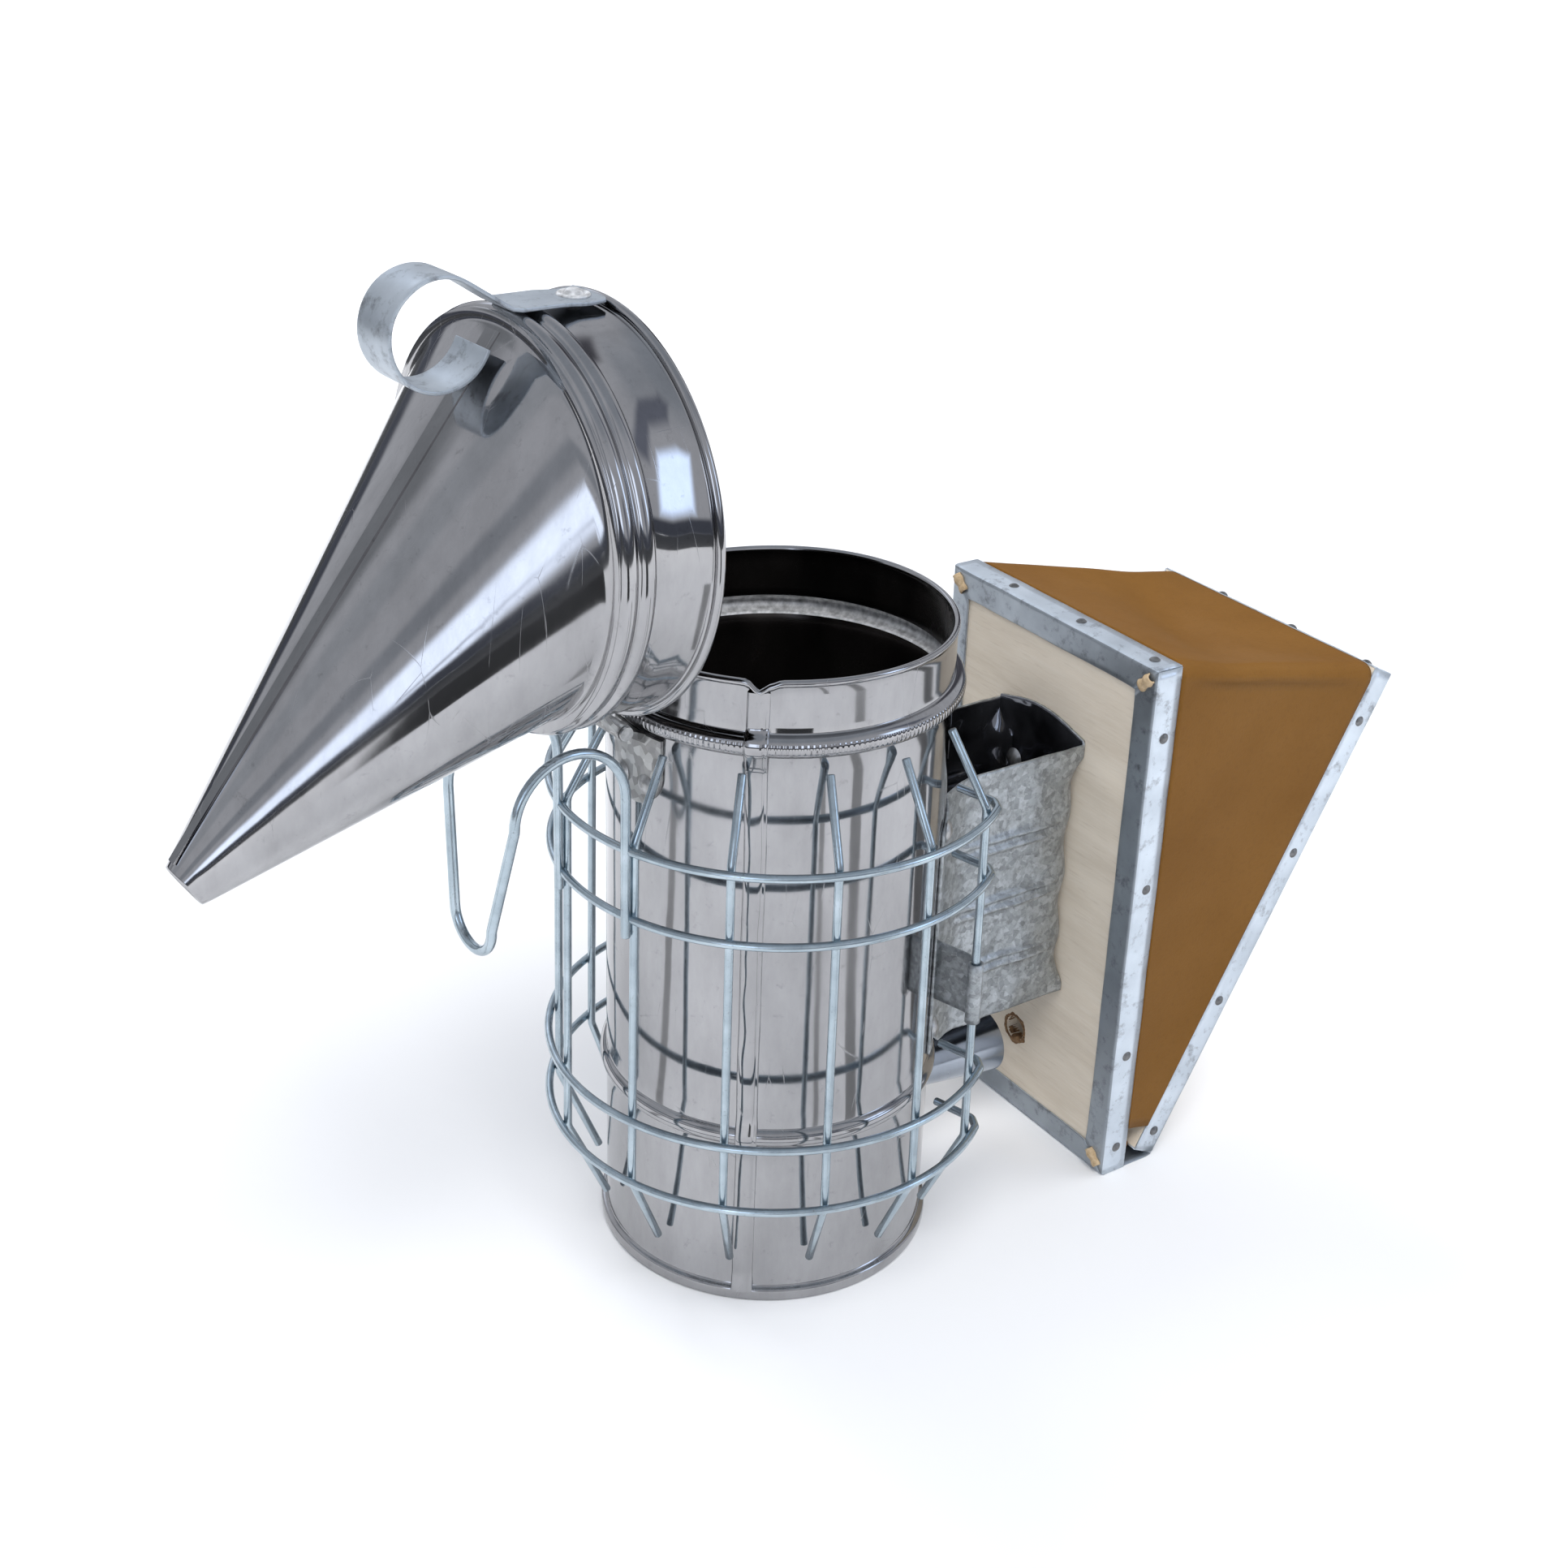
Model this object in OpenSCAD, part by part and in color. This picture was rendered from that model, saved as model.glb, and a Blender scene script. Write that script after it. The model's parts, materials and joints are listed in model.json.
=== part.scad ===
// Bee smoker: stainless fire can with a hinged cone lid, a wire heat guard, and a leather bellows.
// Millimetres, +Z up. The origin is the centre of the can's base. The bellows is on the +X side,
// the lid hinge and the hanging hook are on the -X side. The lid is drawn fully open.

/* [Fire can] */
// Outer radius of the can wall
can_r = 50; // [48:0.5:52]
// Height of the can's rim
can_h = 204; // [190:1:220]
// Sheet thickness of the can and the lid
sheet = 0.8; // [0.6:0.1:1.2]
// Height of the upper bead that stops the lid
stop_z = 186; // [180:0.5:188]
// Height of the lower stiffening bead
low_bead_z = 58.7; // [50:0.1:62]

/* [Lid] */
// Angle the lid is drawn open at
lid_open = 88.5; // [60:0.5:90]
// Inner radius of the lid collar
collar_r = 52.7; // [52.6:0.1:53.2]
// Height of the collar up to the foot of the cone
collar_h = 30; // [28:1:34]
// Sideways offset of the nozzle, towards the hinge
nozzle_x = -77; // [-80:1:-70]
// Height of the nozzle above the lid's rim
nozzle_h = 119.5; // [110:0.5:125]
// Outer radius of the nozzle
nozzle_r = 6.5; // [5:0.1:8]
// Lean of the nozzle's mouth
nozzle_lean = -33; // [-40:1:-20]

/* [Hinge] */
// Distance of the hinge pin from the can's axis
pin_x = 61.6; // [61:0.1:62.5]
// Height of the hinge pin
pin_z = 187; // [186:0.1:188]
// Radius of the hinge pin
pin_r = 1.3; // [1.1:0.1:1.5]

/* [Heat guard] */
// Wire radius of the heat guard
wire_r = 1.25; // [1:0.05:1.5]
// Radius of the lowest guard ring, to the wire's centre
low_ring_r = 67.8; // [66:0.1:70]
// Radius of the highest guard ring, to the wire's centre
high_ring_r = 66.8; // [65.5:0.1:68]
// Angle from +X at which a ring turns in towards the can
ring_end = 58; // [55:1:60]

/* [Bracket] */
// How far the bracket and bellows are turned off the lid hinge's plane
bellows_yaw = -4.5; // [-6:0.5:0]
// Width of the bellows bracket
bracket_w = 42.5; // [38:0.5:46]
// Lowest height of the bellows bracket
bracket_z0 = 54; // [50:1:58]
// Highest height of the bellows bracket
bracket_z1 = 151; // [148:1:156]

/* [Bellows] */
// Front face of the front board, from the can's axis
board_x = 101.5; // [100:0.1:106]
// Half of the boards' width, over the metal edging
board_w = 49.5; // [47:0.5:52]
// Height of the boards, over the metal edging
board_h = 182; // [176:0.5:186]
// Height of the rear board, over the metal edging
rear_h = 177; // [170:0.5:180]
// Thickness of the boards
board_t = 9; // [8:0.5:10]
// Angle between the boards with the bellows full
bellows_open = 27.5; // [25:0.5:31]
// Width of the metal edging
strip_w = 9; // [8:0.5:10]
// Height of the air hole in the front board
air_z = 30; // [26:0.5:32]

/* [Hidden] */
$fn = 96;
eps = 0.01;
zinc = [0.66, 0.74, 0.8];
steel = [0.75, 0.74, 0.74];
galvanised = [0.55, 0.55, 0.53];
ply = [0.82, 0.76, 0.66];
tan_leather = [0.55, 0.37, 0.18];
lid_z = stop_z + 3.4;           // rim plane of the closed lid
rim_bead = 1;                   // radius of the rolled rim of the can
foot_h = 4;                     // height of the seam round the can's foot
foot_r = can_r + 1.8;           // outer radius of that seam
floor_t = 0.8;                  // thickness of the can's floor
seam_az = -135;                 // where the can's lock seam is, from +X
seam_w = 7;                     // width of the can's lock seam
grate_z = 44;                   // height of the fire grate
tube_x0 = 51;                   // where the air inlet tube leaves the can
tube_x1 = 88;                   // mouth of the air inlet tube
tube_z = 30.5;                  // height of the air inlet tube
bead_r = 3.4;                   // radius of the stop bead
bead_x = can_r - 0.1;           // distance of the stop bead's centre from the axis
low_bead_r = 3.2;               // radius of the lower bead
low_bead_x = can_r - 1.2;       // distance of its centre from the axis
tube_r = 6.9;                   // outer radius of the air inlet tube at the can
ring_z = [154.8, 133.3, 67, 45.5];
ring_r = [high_ring_r, high_ring_r - 0.4, low_ring_r, low_ring_r];
weld_gap = 0.3;                 // angle between a ring's ends and its butt weld
upright_az = [61, 87, 113, 139, 165];
upright_top_r = high_ring_r - 2 * wire_r + 0.1;
upright_foot_r = low_ring_r - 2 * wire_r + 0.1;
hook_wire = 1.45;               // wire radius of the hanging hook
knob = 0.12;                    // how much a wire's corners stand proud of the wire
strip_t = 0.6;                  // thickness of the metal edging
bracket_t = 0.9;                // thickness of the bracket's sheet
wall_y = bracket_w / 2;
leaf_w = 22;                    // width of the hinge leaves
leaf_t = 0.9;                   // thickness of the hinge leaves
barrel_r = pin_r + 0.05 + leaf_t;
hinge_gap = 2.2;                // from the bellows' fold to the inner face of each board
hinge_x = board_x + board_t + hinge_gap;
hinge_z = 6;                    // height of the bellows' fold
fit_gap = 0.02;                 // gap between the edging and its board
core_w = board_w - strip_t;     // half width of a bare board
core_h = board_h - 2 * strip_t; // height of a bare board
rear_foot = 1 - strip_t;         // foot of the rear board above the fold
rear_core_h = rear_h - 2 * strip_t;
leather_t = 1.5;                // thickness of the bellows leather
front_nail_z = [10, 45.5, 107, 159];
rear_nail_z = [8, 57, 111.5, 159];
nail_y = [-42, -8.5, 24.5];
wall_top = 146;                 // top of the bracket's walls
web_round = 46;                 // radius of the arch over the bracket's web
wing_az0 = 31;                  // where a wing of the bracket meets the can
wing_az1 = 49;                  // where it ends
rivet_az = 44;
bracket_rivet_z = [72, 140];
knuckle_w = 10;                 // width of the middle knuckle of the lid's hinge
ridge_h = [21.8, 27.2];         // heights of the two ridges round the collar
ridge_r = 2.4;
cone_foot_r = 51;               // radius of the cone's foot
loop_t = 1;                     // thickness of the finger loop's strip
loop_w = 16;                    // width of the finger loop's strip

// ---------- shared helpers ----------
module at_az(az, r, z) {
    rotate([0, 0, az]) translate([r, 0, z]) children();
}

// Turns what is drawn along +X to where the bellows points
module yawed() {
    rotate([0, 0, bellows_yaw]) children();
}

// Round bar from one point to another
module bar(p, q, r) {
    d = q - p;
    len = norm(d);
    translate(p)
        rotate([0, acos(d[2] / len), atan2(d[1], d[0])])
            cylinder(r = r, h = len, $fn = 32);
}

// Bent wire through a list of points
module wire(pts, r) {
    for (i = [0 : len(pts) - 2]) bar(pts[i], pts[i + 1], r);
    for (i = [1 : len(pts) - 2]) translate(pts[i]) sphere(r = r + knob, $fn = 32);
}

function compass(a) = [cos(a), sin(a)];
function polar(az, r, z) = [r * cos(az), r * sin(az), z];

// Rivet or nail head, a shallow dome on a short shank, pointing along +X
module rivet(r, h, shank_r, shank_len) {
    rotate([0, 90, 0]) {
        translate([0, 0, -shank_len]) cylinder(r = shank_r, h = shank_len + eps);
        intersection() {
            cylinder(r = r, h = h);
            translate([0, 0, h - (r * r + h * h) / (2 * h)])
                sphere(r = (r * r + h * h) / (2 * h));
        }
    }
}

// Moves what is drawn for the closed lid to the open lid
module lid_place() {
    translate([-pin_x, 0, pin_z]) rotate([0, -lid_open, 0])
        translate([pin_x, 0, lid_z - pin_z]) children();
}

// Moves what is drawn upright behind the front board to the rear board
module rear_place() {
    yawed() translate([hinge_x, 0, hinge_z]) rotate([0, bellows_open, 0]) children();
}

// ---------- fire can ----------
module can_shell() {
    color(steel) difference() {
        rotate_extrude() {
            difference() {
                union() {
                    translate([can_r - sheet, 0]) square([sheet, can_h]);
                    translate([bead_x, stop_z]) circle(r = bead_r);
                    translate([low_bead_x, low_bead_z]) circle(r = low_bead_r);
                    translate([can_r - sheet, 0]) square([foot_r - can_r + sheet, foot_h]);
                    translate([can_r + 0.6 - rim_bead, can_h]) circle(r = rim_bead);
                }
                translate([bead_x, stop_z]) circle(r = bead_r - sheet);
                translate([low_bead_x, low_bead_z]) circle(r = low_bead_r - sheet);
                translate([can_r - 10 - sheet, 0]) square([10, can_h - 2]);
            }
        }
        yawed() translate([0, 0, tube_z]) rotate([0, 90, 0]) cylinder(r = tube_r + 0.1, h = 60);
    }
}

module can_bottom() {
    color(steel) cylinder(r = can_r - sheet - 0.05, h = floor_t);
}

// Folded lock seam down the outside of the can
module can_seam() {
    color(steel)
        for (span = [[foot_h + 0.3, low_bead_z - 4], [low_bead_z + 4, stop_z - 4.2],
            [stop_z + 4.2, can_h - 2]])
            intersection() {
                difference() {
                    cylinder(r = can_r + 0.75, h = can_h);
                    translate([0, 0, -1]) cylinder(r = can_r + 0.02, h = can_h + 2);
                }
                rotate([0, 0, seam_az])
                    translate([can_r - 4, -seam_w / 2, span[0]])
                        cube([8, seam_w, span[1] - span[0]]);
            }
}

// Perforated grate that holds the fuel above the air inlet, with four legs
module fire_grate() {
    grate_r = can_r - 3;
    color("dimgray") {
        difference() {
            translate([0, 0, grate_z]) cylinder(r = grate_r, h = 1);
            for (ring = [1 : 3])
                for (i = [0 : 6 * ring - 1])
                    rotate([0, 0, i * 60 / ring])
                        translate([ring * 11, 0, grate_z - 1]) cylinder(r = 2.5, h = 3);
        }
        for (az = [45, 135, 225, 315])
            at_az(az, grate_r - 4, floor_t + 0.1)
                translate([-0.5, -4, 0]) cube([1, 8, grate_z - floor_t]);
    }
}

// Wire handle that the grate is lifted out by
module grate_handle() {
    half = 6;
    color("dimgray") translate([0, 0, grate_z + 1])
        wire([[-half, 0, 0], [-half, 0, 15], [half, 0, 15], [half, 0, 0]], 1);
}

// Flared tube that leads the bellows' air into the can
module air_inlet_tube() {
    tube_len = tube_x1 - tube_x0;
    mouth_r = 10.8;
    wall = 0.8;
    color(galvanised) yawed() translate([0, 0, tube_z]) rotate([0, 90, 0]) difference() {
        union() {
            translate([0, 0, can_r - 4]) cylinder(r = tube_r, h = tube_x0 - can_r + 4 + eps);
            translate([0, 0, tube_x0]) cylinder(r1 = tube_r, r2 = mouth_r, h = tube_len);
        }
        translate([0, 0, can_r - 5]) cylinder(r = tube_r - wall, h = tube_x0 - can_r + 5 + eps);
        translate([0, 0, tube_x0]) cylinder(r1 = tube_r - wall, r2 = mouth_r - wall, h = tube_len + eps);
    }
}

// ---------- heat guard ----------
// Half-round bend in a wire, in the XZ plane, from [turn_r, 0] over the top to [-turn_r, 0]
module half_bend(turn_r, r) {
    rotate([90, 0, 0]) rotate_extrude(angle = 180) translate([turn_r, 0]) circle(r = r, $fn = 32);
}

// Open ring: an arc round the hinge side, butt welded at its middle, whose two ends turn in
module guard_ring(z, r) {
    color(zinc) {
        for (side = [0, 1])
            mirror([0, side, 0]) {
                tip = polar(ring_end, r, z);
                rotate([0, 0, ring_end]) rotate_extrude(angle = 180 - ring_end - weld_gap)
                    translate([r, z]) circle(r = wire_r, $fn = 32);
                translate(tip) sphere(r = wire_r + knob, $fn = 32);
                wire([tip, polar(ring_end - 3.6, r - 2, z), polar(49, can_r + 3.6, z)], wire_r);
            }
        translate([-r, 0, z]) sphere(r = wire_r + knob, $fn = 32);
    }
}

module guard_ring_1() { guard_ring(ring_z[0], ring_r[0]); }
module guard_ring_2() { guard_ring(ring_z[1], ring_r[1]); }
module guard_ring_3() { guard_ring(ring_z[2], ring_r[2]); }
module guard_ring_4() { guard_ring(ring_z[3], ring_r[3]); }

// Upright wires inside the rings, their ends bent in towards the can
module guard_uprights() {
    color(zinc)
        for (az = upright_az)
            for (side = [-1, 1])
                wire([polar(side * az, can_r + 3, 17), polar(side * az, upright_foot_r, 44),
                    polar(side * az, upright_top_r, 156), polar(side * az, can_r + 2.6, 178)], wire_r);
}

// Hanging hook: one wire, up from the guard, over, and down to a rounded end
module hanging_hook() {
    foot_z = 128;
    arch = [-82.7, 16.7, 171];  // centre of the arch on one side
    arch_r = 17.5;
    tail = [-103.6, 9.5, 139];  // where that side meets the rounded end
    color(zinc) {
        for (side = [0, 1])
            mirror([0, side, 0]) {
                foot = [arch[0] + arch_r, arch[1], foot_z];
                rise = [foot[0], foot[1], arch[2]];
                top = arch - [arch_r, 0, 0];
                bar(foot, rise, hook_wire);
                translate(rise) sphere(r = hook_wire + knob, $fn = 32);
                translate(arch) half_bend(arch_r, hook_wire);
                translate(top) sphere(r = hook_wire + knob, $fn = 32);
                bar(top, tail, hook_wire);
                translate(tail) sphere(r = hook_wire + knob, $fn = 32);
            }
        translate([tail[0], 0, tail[2]]) rotate([0, 0, 90]) rotate([0, 180, 0])
            half_bend(tail[1], hook_wire);
    }
}

// ---------- bracket ----------
// Plan of the bracket: two walls that flare out and lie on the can, and a web on the board
module bracket_plan() {
    near = can_r + 0.1;
    far = near + bracket_t;
    outer_arc = [for (a = [wing_az0 : 3 : wing_az1]) [far * cos(a), far * sin(a)]];
    inner_arc = [for (a = [wing_az1 : -3 : wing_az0]) [near * cos(a), near * sin(a)]];
    face = board_x - 0.05;
    for (side = [0, 1])
        mirror([0, side])
            polygon(concat([[56, wall_y - bracket_t], [face, wall_y - bracket_t],
                [face, wall_y], [56.3, wall_y]], outer_arc, inner_arc));
    translate([face - bracket_t, -wall_y]) square([bracket_t, bracket_w]);
}

// Side outline of the bracket, with a wavy edge along the board
module bracket_side() {
    wave = [for (k = [0 : 18])
        [board_x - 1.2 - 1.2 * cos(k * 60), bracket_z0 + 10 + k * (wall_top - bracket_z0 - 10) / 18]];
    polygon(concat([[30, bracket_z0 + 3], [62, bracket_z0 + 3]], wave, [[30, wall_top]]));
}

module bellows_bracket() {
    slot_z = 88;
    tab_z = 85;
    tab_h = 20;
    color(galvanised) {
        yawed() difference() {
            union() {
                intersection() {
                    translate([0, 0, bracket_z0])
                        linear_extrude(bracket_z1 - bracket_z0) bracket_plan();
                    union() {
                        rotate([90, 0, 0]) linear_extrude(120, center = true) bracket_side();
                        translate([0, 0, bracket_z1 - web_round]) rotate([0, 90, 0])
                            cylinder(r = web_round, h = 200);
                    }
                    union() {
                        translate([0, -60, bracket_z0]) cube([board_x - 2, 120, bracket_z1]);
                        translate([board_x - 2.5, -60, bracket_z0 + 10]) cube([3, 120, bracket_z1]);
                    }
                }
                for (rib_z = [78, 99, 120])
                    for (side = [-1, 1])
                        translate([64, side * (wall_y - 0.1), rib_z]) rotate([0, 86, 0])
                            cylinder(r = 0.9, h = 30, $fn = 24);
            }
            translate([0, 0, low_bead_z - low_bead_r - 0.3])
                cylinder(r = low_bead_x + low_bead_r + 0.3, h = 2 * low_bead_r + 0.6);
            for (side = [-1, 1])
                rotate([0, 0, side * 41]) translate([can_r - 5, 0, slot_z]) rotate([0, 90, 0]) {
                    cylinder(r = 2.5, h = 20);
                    translate([-12, -2.5, 0]) cube([12, 5, 20]);
                    translate([-12, 0, 0]) cylinder(r = 2.5, h = 20);
                }
        }
        // tabs that reach out from the wings and wrap the last upright on each side
        for (side = [-1, 1]) {
            root = polar(side * (wing_az1 - 1) + bellows_yaw, can_r + 0.5, tab_z);
            lean = (tab_z + tab_h / 2 - 44) / 112;
            end_r = upright_foot_r + (upright_top_r - upright_foot_r) * lean;
            end = polar(side * upright_az[0], end_r, tab_z);
            run = end - root;
            difference() {
                union() {
                    translate(root) rotate([0, 0, atan2(run[1], run[0])])
                        translate([0, -bracket_t / 2, 0]) cube([norm(run), bracket_t, tab_h]);
                    translate(end) cylinder(r = wire_r + 0.85, h = tab_h);
                }
                translate(end - [0, 0, 1]) cylinder(r = wire_r + 0.15, h = tab_h + 2);
                cylinder(r = can_r + 0.1, h = can_h);
            }
        }
    }
}

// Rivets that hold the wings to the can
module bracket_rivets() {
    color(steel) yawed()
        for (az = [-rivet_az, rivet_az])
            for (z = bracket_rivet_z)
                rotate([0, 0, az]) translate([can_r + 0.1 + bracket_t + 0.05, 0, z])
                    rivet(3.6, 1.6, 1.4, bracket_t + sheet + 0.8);
}

// Bolts that hold the web to the front board
module bracket_bolts() {
    color(steel) yawed()
        for (z = [75, 128])
            for (y = [-11, 11])
                translate([board_x - 0.1 - bracket_t, y, z]) rotate([0, 0, 180])
                    rivet(3.5, 2, 1.45, bracket_t + board_t * 0.7);
}

// ---------- hinge ----------
// Leaf on the can: a rounded plate below the stop bead, and an arm out to the middle knuckle
module hinge_leaf_can() {
    top = stop_z - bead_r - 1.6;
    bottom = top - 22;
    x = -(can_r + 0.1);
    color(galvanised) difference() {
        union() {
            intersection() {
                difference() {
                    cylinder(r = can_r + 0.1 + leaf_t, h = can_h);
                    translate([0, 0, -1]) cylinder(r = can_r + 0.1, h = can_h + 2);
                }
                union() {
                    translate([-60, -leaf_w / 2, bottom + leaf_w / 2])
                        cube([20, leaf_w, top - bottom - leaf_w / 2]);
                    translate([-60, 0, bottom + leaf_w / 2]) rotate([0, 90, 0])
                        cylinder(r = leaf_w / 2, h = 20);
                }
            }
            rotate([90, 0, 0]) linear_extrude(knuckle_w, center = true)
                polygon([[x, top], [x - leaf_t, top - 2.4], [-pin_x - leaf_t / 2, pin_z - 1.5],
                    [-pin_x + leaf_t / 2, pin_z - 0.8]]);
            translate([-pin_x, 0, pin_z]) rotate([90, 0, 0])
                cylinder(r = barrel_r, h = knuckle_w, center = true);
        }
        translate([-pin_x, 0, pin_z]) rotate([90, 0, 0])
            cylinder(r = pin_r + 0.05, h = knuckle_w + 10, center = true);
    }
}

module hinge_pin() {
    color(steel) translate([-pin_x, 0, pin_z]) rotate([90, 0, 0]) {
        cylinder(r = pin_r, h = leaf_w + 1, center = true);
        for (side = [-1, 1])
            translate([0, 0, side * (leaf_w / 2 + 0.7)])
                cylinder(r = pin_r + 0.7, h = 0.8, center = true);
    }
}

// Leaf on the lid, drawn closed: riveted to the collar, over the rolled rim, to two end knuckles
module hinge_leaf_lid() {
    axis_h = pin_z - lid_z;
    side_w = (leaf_w - knuckle_w) / 2 - 0.2;
    x = -(collar_r + sheet + 0.1);
    foot = 4.2;
    color(galvanised) lid_place() difference() {
        union() {
            intersection() {
                difference() {
                    cylinder(r = -x + leaf_t, h = 20);
                    translate([0, 0, -1]) cylinder(r = -x, h = 22);
                }
                translate([-60, -leaf_w / 2, foot]) cube([20, leaf_w, 13]);
            }
            for (side = [-1, 1])
                translate([0, side * (leaf_w - side_w) / 2, 0]) rotate([90, 0, 0]) {
                    linear_extrude(side_w, center = true)
                        polygon([[x, foot], [x, foot + 1.6], [-pin_x - 0.6, axis_h + 1.8],
                            [-pin_x + 1.2, axis_h + 1], [x - 3.9, 1.6]]);
                    translate([-pin_x, axis_h]) cylinder(r = barrel_r, h = side_w, center = true);
                }
        }
        translate([-pin_x, 0, axis_h]) rotate([90, 0, 0])
            cylinder(r = pin_r + 0.05, h = leaf_w + 10, center = true);
    }
}

module hinge_rivets_can() {
    color(steel)
        for (y = [-6, 6])
            rotate([0, 0, 180 + y]) translate([can_r + 0.15 + leaf_t, 0, 166])
                rivet(3, 1.4, 1.2, leaf_t + sheet + 0.7);
}

module hinge_rivets_lid() {
    color(steel) lid_place()
        for (y = [-6, 6])
            rotate([0, 0, 180 + y]) translate([collar_r + sheet + 0.15 + leaf_t, 0, 12.5])
                rivet(3, 1.4, 1.2, leaf_t + sheet + 0.7);
}

// ---------- lid (drawn from its rim plane, closed, then placed open) ----------
module lid_collar() {
    color(steel) lid_place() rotate_extrude() difference() {
        union() {
            translate([collar_r, 0]) square([sheet, collar_h]);
            translate([collar_r + 1.9, 1.3]) circle(r = 1.3);
            for (h = ridge_h) translate([collar_r, h]) circle(r = ridge_r);
        }
        for (h = ridge_h) translate([collar_r, h]) circle(r = ridge_r - sheet);
        translate([collar_r - 10, -1]) square([10, collar_h + 2]);
    }
}

// Closed skin of the cone, shrunk by the given amount
module cone_body(shrink) {
    hull() {
        translate([0, 0, collar_h + 0.02]) cylinder(r = cone_foot_r - shrink, h = 0.02);
        translate([nozzle_x, 0, nozzle_h]) rotate([0, nozzle_lean, 0])
            cylinder(r = nozzle_r - shrink, h = 0.02);
    }
}

module lid_cone() {
    color(steel) lid_place() difference() {
        union() {
            cone_body(0);
            translate([0, 0, collar_h]) cylinder(r = collar_r + sheet + 0.6, h = 0.6);
        }
        cone_body(sheet);
        translate([0, 0, collar_h - 1]) cylinder(r = cone_foot_r - sheet, h = 1.1);
        translate([nozzle_x, 0, nozzle_h]) rotate([0, nozzle_lean, 0])
            translate([0, 0, -2]) cylinder(r = nozzle_r - sheet - 0.05, h = 6);
    }
}

// Lap seam along the side of the cone away from the hinge
module cone_seam() {
    foot = [cone_foot_r, collar_h];
    tip = [nozzle_x + nozzle_r * cos(nozzle_lean), nozzle_h - nozzle_r * sin(nozzle_lean)];
    run = tip - foot;
    color(steel) lid_place() translate([foot[0], 0, foot[1]]) rotate([0, -atan2(run[1], run[0]), 0])
        translate([0, 0, -0.7]) linear_extrude(0.6)
            polygon([[1.8, -3], [norm(run) - 2, -1.4], [norm(run) - 2, 1.4], [1.8, 3]]);
}

// Finger loop: a strip up the collar, bent out and curled back over the cone
module lid_loop() {
    x0 = collar_r + sheet + 0.1;
    c = [x0 - 1.3, 50];
    loop_r = 13.8;
    curl = 270;
    foot = [x0 + loop_t / 2, 17];
    d = c - foot;
    lean = atan2(d[1], d[0]) - asin(loop_r / norm(d));
    outer = [for (k = [0 : 32]) c + (loop_r + loop_t / 2) * compass(lean - 90 + k * curl / 32)];
    inner = [for (k = [32 : -1 : 0]) c + (loop_r - loop_t / 2) * compass(lean - 90 + k * curl / 32)];
    color(galvanised) lid_place() rotate([90, 0, 0])
        linear_extrude(loop_w, center = true)
            polygon(concat([[x0, 3.4], [x0 + loop_t, 3.4], [x0 + loop_t, 16.6]],
                outer, inner, [[x0, 17.4]]));
}

module lid_loop_rivet() {
    color(steel) lid_place() translate([collar_r + sheet + 0.15 + loop_t, 0, 8.5])
        rivet(4, 1.5, 1.5, loop_t + sheet + 0.9);
}

// ---------- bellows ----------
// Bare board, its hinge corner at the origin, thickness towards -X
module board(width, height) {
    translate([-board_t, -width, 0]) cube([board_t, 2 * width, height]);
}

module front_board() {
    color(ply) yawed() difference() {
        translate([board_x + board_t, 0, strip_t]) board(core_w, core_h);
        translate([board_x - 1, 0, air_z]) rotate([0, 90, 0]) cylinder(r = 4.25, h = board_t + 2);
    }
}

// L-shaped edging along an upright edge: one leg on the board's face, one on its edge
module upright_edge(side, height) {
    face = -board_t - strip_t - fit_gap;
    mirror([0, side < 0 ? 1 : 0, 0]) {
        translate([face, core_w - strip_w, strip_t]) cube([strip_t, strip_w, height]);
        translate([face, core_w + fit_gap, strip_t]) cube([board_t + strip_t, strip_t, height]);
        translate([face, core_w - fit_gap, strip_t]) cube([strip_t, 2 * fit_gap, height]);
    }
}

// L-shaped edging along the top or the bottom edge
module level_edge(top, height) {
    face = -board_t - strip_t - fit_gap;
    half = core_w - strip_w - 0.05;
    face_z = top ? height + strip_t - strip_w : strip_t;
    edge_z = top ? height + strip_t + fit_gap : -fit_gap;
    join_z = top ? height + strip_t - fit_gap : strip_t - 2 * fit_gap;
    translate([face, -half, face_z]) cube([strip_t, 2 * half, strip_w]);
    translate([face, -half, join_z]) cube([strip_t, 2 * half, 3 * fit_gap]);
    translate([face, -core_w + 0.05, edge_z]) cube([board_t + strip_t, 2 * core_w - 0.1, strip_t]);
}

module front_place() {
    yawed() translate([board_x + board_t, 0, 0]) children();
}

// Rear edging and board are the front ones, turned round
module rear_turn() {
    rear_place() translate([hinge_gap, 0, rear_foot]) mirror([1, 0, 0]) children();
}

module front_edge_left() { color(zinc) front_place() upright_edge(1, core_h); }
module front_edge_right() { color(zinc) front_place() upright_edge(-1, core_h); }
module front_edge_top() { color(zinc) front_place() level_edge(true, core_h); }
module front_edge_bottom() { color(zinc) front_place() level_edge(false, core_h); }
module rear_board() { color(ply) rear_turn() translate([0, 0, strip_t]) board(core_w, rear_core_h); }
module rear_edge_left() { color(zinc) rear_turn() upright_edge(1, rear_core_h); }
module rear_edge_right() { color(zinc) rear_turn() upright_edge(-1, rear_core_h); }
module rear_edge_top() { color(zinc) rear_turn() level_edge(true, rear_core_h); }
module rear_edge_bottom() { color(zinc) rear_turn() level_edge(false, rear_core_h); }

// Nails through the edging: along both upright edges and along the top
module edge_nails(heights, height) {
    color("slategray") {
        for (side = [-1, 1])
            for (z = heights)
                translate([-board_t / 2, side * (core_w + strip_t + 0.05), z]) rotate([0, 0, side * 90])
                    rivet(1.7, 0.8, 0.7, 8);
        for (y = nail_y)
            translate([-board_t / 2, y, height + 2 * strip_t + 0.05]) rotate([0, -90, 0])
                rivet(1.7, 0.8, 0.7, 8);
    }
}

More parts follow.
